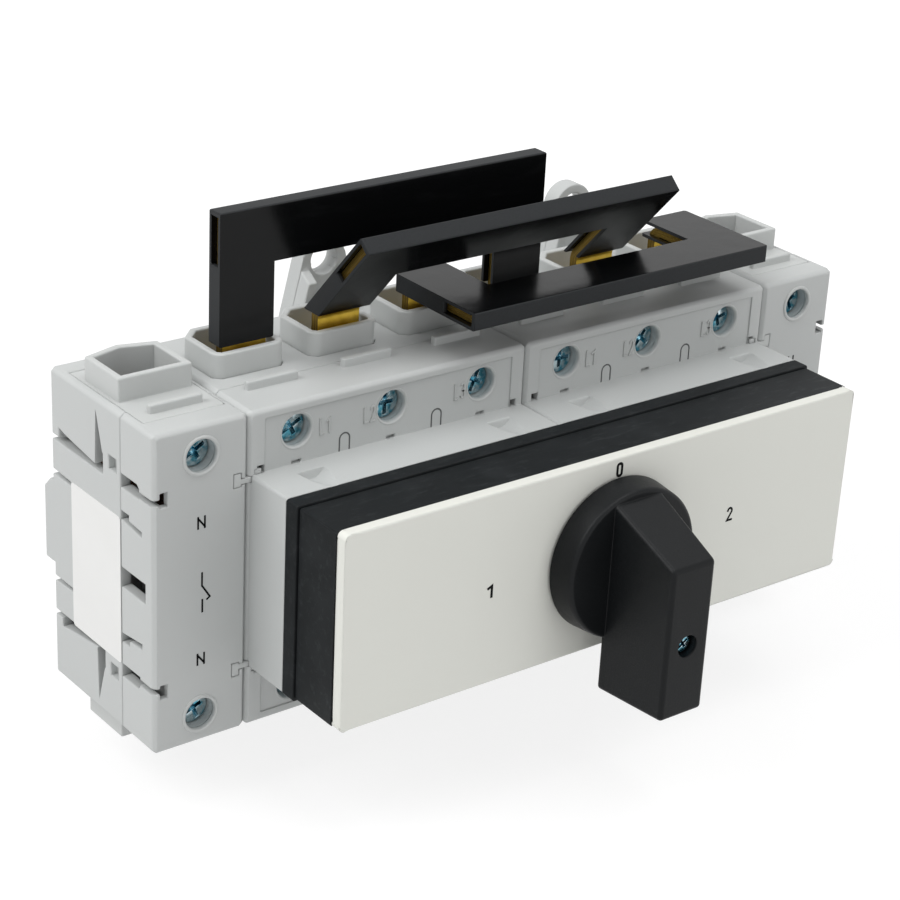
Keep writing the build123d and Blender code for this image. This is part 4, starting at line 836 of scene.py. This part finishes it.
def fill_between(builder, *loops):
    """A flat face bounded by loops of points, the inner ones left open."""
    edges = []
    for loop in loops:
        for i in range(len(loop)):
            pair = (loop[i], loop[(i + 1) % len(loop)])
            edges.append(builder.edges.get(pair) or builder.edges.new(pair))
    bmesh.ops.triangle_fill(builder, edges=edges, use_beauty=True)


def guide_rings():
    """Low moulded rings round the neutral terminals' screw holes."""
    hole = SCREW_HOLE_RADIUS
    for side in SIDES:
        front = neutral_front(side)
        sections = (
            (RING_RADIUS + 0.05 * MM, front + PRINT_SINK),
            (RING_RADIUS - 0.05 * MM, front - RING_HEIGHT * 0.6),
            (RING_RADIUS - 0.25 * MM, front - RING_HEIGHT),
            (hole + 0.2 * MM, front - RING_HEIGHT),
            (hole + 0.02 * MM, front - RING_HEIGHT * 0.75),
            (hole - 0.06 * MM, front - RING_HEIGHT * 0.2),
            (hole - 0.06 * MM, front + MM),
        )
        x = centre_across(f"{side}_neutral_cover")
        builder = bmesh.new()
        for z in (SCREW_HEIGHT, -SCREW_HEIGHT):
            turned(builder, sections, (x, z), LIP_POINTS, closed=True)
        name = f"{side}_neutral_rings"
        piece_from(builder, name, "shroud", "housing", LIP_CREASE)


def guide_lips():
    """The rounded mouths of the screw holes in the three-pole blocks."""
    hole = SCREW_HOLE_RADIUS
    for side in SIDES:
        front = marking_field(side)
        sections = (
            (hole + 0.5 * MM, front + PRINT_SINK),
            (hole + 0.42 * MM, front - 0.07 * MM),
            (hole + 0.2 * MM, front - 0.05 * MM),
            (hole + 0.02 * MM, front + 0.06 * MM),
            (hole - 0.1 * MM, front + 0.25 * MM),
            (hole - 0.14 * MM, front + 0.5 * MM),
            (hole - 0.14 * MM, front + 1.3 * MM),
            (hole + 0.1 * MM, front + 1.3 * MM),
        )
        builder = bmesh.new()
        for z in (SCREW_HEIGHT, -SCREW_HEIGHT):
            for x in pole_places(side):
                turned(builder, sections, (x, z), LIP_POINTS, closed=True)
        name = f"{side}_switch_lips"
        piece_from(builder, name, "shroud", "housing", LIP_CREASE)


# Arched grooves, drawn as lines of painted shade
def arch_outline(half_width, height, steps=12):
    """An arch as (x, z) points from foot to foot."""
    spring = height - half_width
    angles = [pi * i / steps for i in range(steps + 1)]
    bow = [(-half_width * cos(a), spring + half_width * sin(a)) for a in angles]
    return [(-half_width, 0.0), *bow, (half_width, 0.0)]


def add_arch(builder, x, sign, front):
    """One arched line, standing up from the escutcheon or, with sign -1, hanging below it."""
    outer = arch_outline(ARCH_HALF_WIDTH, ARCH_HEIGHT)
    inner = arch_outline(ARCH_HALF_WIDTH - ARCH_LINE, ARCH_HEIGHT - ARCH_LINE)
    back, top = front + PRINT_SINK, front - PRINT_THICKNESS
    rows = []
    for outline, y in ((outer, back), (outer, top), (inner, top), (inner, back)):
        rows.append([builder.verts.new((x + px, y, sign * (ARCH_FOOT + pz))) for px, pz in outline])
    for first, second in zip(rows, rows[1:] + rows[:1]):
        for i in range(len(first) - 1):
            builder.faces.new((first[i], first[i + 1], second[i + 1], second[i]))
    for i in (0, -1):
        builder.faces.new([row[i] for row in rows])


def moulded_arches():
    """Dark lines of painted shade where the narrow arched grooves run between the poles, along the
    escutcheon.
    """
    for side in SIDES:
        centre = centre_across(f"{side}_switch_base")
        builder = bmesh.new()
        for sign in (1, -1):
            for offset in (-POLE_PITCH / 2, POLE_PITCH / 2):
                add_arch(builder, centre + offset, sign, marking_field(side))
        # The arches are painted shade on the surface, not cut grooves
        piece_from(builder, f"{side}_switch_arches", "painted_shade", "housing")


# Screws
def cross_outline(arm, half_width, slot_reach, turn):
    """A cross recess whose horizontal arms reach further, as a slot, in (x, z) points."""
    corners = [
        (slot_reach, -half_width), (slot_reach, half_width), (half_width, half_width),
        (half_width, arm), (-half_width, arm), (-half_width, half_width),
        (-slot_reach, half_width), (-slot_reach, -half_width), (-half_width, -half_width),
        (-half_width, -arm), (half_width, -arm), (half_width, -half_width),
    ]
    c, s = cos(turn), sin(turn)
    return [(x * c - z * s, x * s + z * c) for x, z in corners]


def add_screw(builder, centre, front, radius, head, shank_radius, end, turn):
    """A pan-head screw with a combined cross and slot recess, its axis along Y."""
    sections = (
        (radius - 0.45 * MM, front),
        (radius - 0.12 * MM, front + 0.13 * MM),
        (radius, front + SCREW_CROWN),
        (radius, front + head),
        (shank_radius, front + head),
        (shank_radius, end - SCREW_TIP),
        (shank_radius - SCREW_TIP, end),
    )
    rings = turned(builder, sections, centre, SCREW_POINTS)
    builder.faces.new(rings[-1])
    x, z = centre
    reach = radius - RECESS_MARGIN
    outline = cross_outline(reach * RECESS_CROSS_SHARE, radius * RECESS_SLOT_SHARE, reach, turn)
    top = [builder.verts.new((x + px, front, z + pz)) for px, pz in outline]
    deep = front + min(head * 0.7, RECESS_DEPTH)
    narrowed = [(px * RECESS_TAPER, pz * RECESS_TAPER) for px, pz in outline]
    floor = [builder.verts.new((x + px, deep, z + pz)) for px, pz in narrowed]
    join_rings(builder, top, floor)
    fill_between(builder, rings[0], top)
    fill_between(builder, floor)


def terminal_screws():
    """Plated terminal screws in the guides of all eight poles, above and below."""
    poles = [x for side in SIDES for x in pole_places(side)]
    poles += [centre_across(f"{side}_neutral_base") for side in SIDES]
    for end, sign in (("upper", 1), ("lower", -1)):
        low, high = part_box(f"{end}_terminal_screws")
        builder = bmesh.new()
        for x, turn in zip(poles, TERMINAL_SCREW_TURNS):
            add_screw(
                builder, (x, sign * SCREW_HEIGHT), low.y - TERMINAL_SCREW_RISE, TERMINAL_SCREW_RADIUS,
                TERMINAL_SCREW_HEAD, TERMINAL_SHANK_RADIUS, high.y, turn * (1 + sign * 0.3),
            )
        name = f"{end}_terminal_screw_set"
        screws = piece_from(builder, name, "zinc", "housing", SCREW_CREASE)
        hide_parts(f"{end}_terminal_screws")


def handle_screw():
    """The clamping screw in the handle's grip."""
    low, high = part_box("knob_screw")
    centre = ((low.x + high.x) / 2, (low.z + high.z) / 2)
    radius = (high.x - low.x) / 2
    builder = bmesh.new()
    add_screw(
        builder, centre, low.y, radius, CLAMP_SCREW_HEAD, CLAMP_SHANK_RADIUS, high.y,
        CLAMP_SCREW_TURN,
    )
    name = "handle_clamp_screw"
    screw = piece_from(builder, name, "zinc", "handle", SCREW_CREASE)
    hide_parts("knob_screw")


# Handle
def add_disc(builder, back, front):
    """The handle's round skirt, with a rounded front rim."""
    sections = [(DISC_RADIUS - DISC_BACK_EASE, back), (DISC_RADIUS, back - DISC_BACK_EASE)]
    for i in range(DISC_STEPS + 1):
        angle = pi / 2 * i / DISC_STEPS
        inset = DISC_ROUNDING * (1 - cos(angle))
        sections.append((DISC_RIM_RADIUS - inset, front + DISC_ROUNDING * (1 - sin(angle))))
    rings = turned(builder, sections, (0, 0), DISC_POINTS)
    builder.faces.new(rings[0])
    builder.faces.new(rings[-1])


def add_grip(builder, foot, front, disc_front):
    """The tapered grip with rounded edges."""
    back = disc_front + GRIP_SET_BACK
    profile = (
        (back, foot), (front, foot + GRIP_FOOT_RISE), (front, GRIP_FRONT_TOP),
        (disc_front, GRIP_TOP), (back, GRIP_TOP),
    )
    taper = (GRIP_BACK_HALF - GRIP_FRONT_HALF) / (back - front)
    left, right = [
        [builder.verts.new((side * (GRIP_FRONT_HALF + (y - front) * taper), y, z)) for y, z in profile]
        for side in (-1, 1)
    ]
    join_rings(builder, left, right)
    builder.faces.new(left)
    builder.faces.new(right)
    edges = {edge for vert in left + right for edge in vert.link_edges}
    bmesh.ops.recalc_face_normals(builder, faces=builder.faces)
    bevelled(builder, list(edges), GRIP_ROUNDING, 6)


def sink_screw_hole(builder, front):
    """Opens the clamping screw's hole in the grip's front face."""
    foremost = [face for face in builder.faces if face.calc_center_median().y < front + 0.001 * MM]
    nose = max(foremost, key=lambda face: face.calc_area())
    outline = list(nose.verts)
    builder.faces.remove(nose)
    sections = (
        (HANDLE_HOLE_RADIUS + 0.3 * MM, front),
        (HANDLE_HOLE_RADIUS + 0.09 * MM, front + 0.09 * MM),
        (HANDLE_HOLE_RADIUS, front + 0.3 * MM),
        (HANDLE_HOLE_RADIUS, front + HANDLE_HOLE_DEPTH),
    )
    rings = turned(builder, sections, (0, -HANDLE_SCREW_DROP), HANDLE_HOLE_POINTS)
    fill_between(builder, outline, rings[0])
    builder.faces.new(rings[-1])


def rotary_handle():
    """The handle, turned and rounded as moulded; the carried-over one has flat chamfers."""
    low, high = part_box("knob")
    disc_front = low.y + GRIP_REACH
    builder = bmesh.new()
    add_grip(builder, low.z, low.y, disc_front)
    sink_screw_hole(builder, low.y)
    add_disc(builder, high.y, disc_front)
    handle = piece_from(builder, "rotary_handle", "handle", "handle", HANDLE_CREASE)
    shade_evenly(handle)
    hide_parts("knob")


def bare_label():
    """The rating label's film with rounded corners, left bare."""
    low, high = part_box("rating_label")
    radius, steps = LABEL_CORNER, LABEL_CORNER_STEPS
    corners = (
        (high.y - radius, high.z - radius), (low.y + radius, high.z - radius),
        (low.y + radius, low.z + radius), (high.y - radius, low.z + radius),
    )
    outline = []
    for quarter, (y, z) in enumerate(corners):
        for i in range(steps + 1):
            angle = (quarter + i / steps) * pi / 2
            outline.append((y + radius * cos(angle), z + radius * sin(angle)))
    builder = bmesh.new()
    outer = [builder.verts.new((low.x + LABEL_SETTLE, y, z)) for y, z in outline]
    inner = [builder.verts.new((high.x, y, z)) for y, z in outline]
    builder.faces.new(outer)
    builder.faces.new(inner)
    join_rings(builder, outer, inner)
    label = piece_from(builder, "bare_rating_label", "label", "housing")
    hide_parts("rating_label")


# Studio
def photo_camera():
    """The photograph's viewing angle and lens."""
    data = bpy.data.cameras.new("photo_camera")
    data.lens = CAMERA_LENS
    data.sensor_width = CAMERA_SENSOR
    data.clip_start = 0.01
    data.clip_end = 20.0
    camera = placed("photo_camera", data)
    azimuth, elevation = radians(CAMERA_AZIMUTH), radians(CAMERA_ELEVATION)
    back = Vector((sin(azimuth) * cos(elevation), -cos(azimuth) * cos(elevation), sin(elevation)))
    upright = (-back).to_track_quat("-Z", "Y").to_matrix().to_4x4()
    roll = Matrix.Rotation(radians(CAMERA_ROLL), 4, "Z")
    camera.matrix_world = Matrix.Translation(CAMERA_PLACE) @ upright @ roll
    bpy.context.scene.camera = camera


def soft_light(name, place, aim, size, power):
    """A rectangular softbox turned to its aim."""
    data = bpy.data.lights.new(name, "AREA")
    data.shape = "RECTANGLE"
    data.size, data.size_y = size
    data.energy = power
    direction = Vector(aim) - Vector(place)
    turn = direction.to_track_quat("-Z", "Y").to_matrix().to_4x4()
    placed(name, data).matrix_world = Matrix.Translation(place) @ turn


def white_surroundings():
    """A white world to look at, which lights the object at its own, lower strength."""
    world = bpy.data.worlds.new("white_studio")
    bpy.context.scene.world = world
    world.use_nodes = True
    shader = Shader(world.node_tree)
    background = world.node_tree.nodes["Background"]
    shader.feed(background.inputs["Color"], (1.0, 1.0, 1.0))
    strength = WORLD_STRENGTH + shader.seen_directly() * (1 - WORLD_STRENGTH)
    shader.feed(background.inputs["Strength"], strength)


def table_white():
    """White that keeps a faint shadow; what is seen of it is lifted towards plain white."""
    finish = Finish("pale_floor", 0.9, specular=0.0)
    finish.set("Base Color", (0.8, 0.8, 0.8))
    length = {"operation": "LENGTH"}
    distance = finish.node("ShaderNodeVectorMath", length, {0: finish.place}, "Value")
    fade = distance.ramp(FLOOR_FADE_START, FLOOR_FADE_END, FLOOR_LIFT, 1.0)
    white = {"Color": (1.0, 1.0, 1.0), "Strength": FLOOR_GLOW}
    glow = finish.node("ShaderNodeEmission", None, white)
    table = Field(finish, finish.surface.outputs[0])
    both = {0: finish.seen_directly() * fade, 1: table, 2: glow}
    output = finish.tree.nodes["Material Output"].inputs["Surface"]
    finish.feed(output, finish.node("ShaderNodeMixShader", None, both))
    return finish.material


def pale_floor():
    """The table that the object stands on."""
    builder = bmesh.new()
    bmesh.ops.create_grid(builder, x_segments=1, y_segments=1, size=FLOOR_SIZE)
    mesh = bpy.data.meshes.new("pale_floor")
    builder.to_mesh(mesh)
    builder.free()
    mesh.materials.append(table_white())
    floor = placed("pale_floor", mesh)
    floor.location = (0, 0, cad_low.z)


def studio():
    white_surroundings()
    pale_floor()
    middle = (0, -0.03, 0)
    soft_light("key_softbox", place=(-0.78, 0.14, 0.8), aim=middle, size=(0.7, 0.7), power=7.2)
    soft_light("top_softbox", place=(0.1, -0.28, 1.05), aim=middle, size=(0.9, 0.6), power=4.9)
    front = (0.03, -0.05, 0)
    soft_light("front_fill", place=(0.25, -1.0, 0.3), aim=front, size=(0.6, 0.6), power=1.3)


photo_camera()
dress_inner_pieces()
soften_blocks()
soften_mechanism()
soften_bridges()
soften_latches()
guide_rings()
guide_lips()
moulded_arches()
position_marks()
neutral_marks()
terminal_marks()
terminal_screws()
rotary_handle()
handle_screw()
bare_label()
studio()
bpy.context.scene.view_settings.view_transform = "Standard"
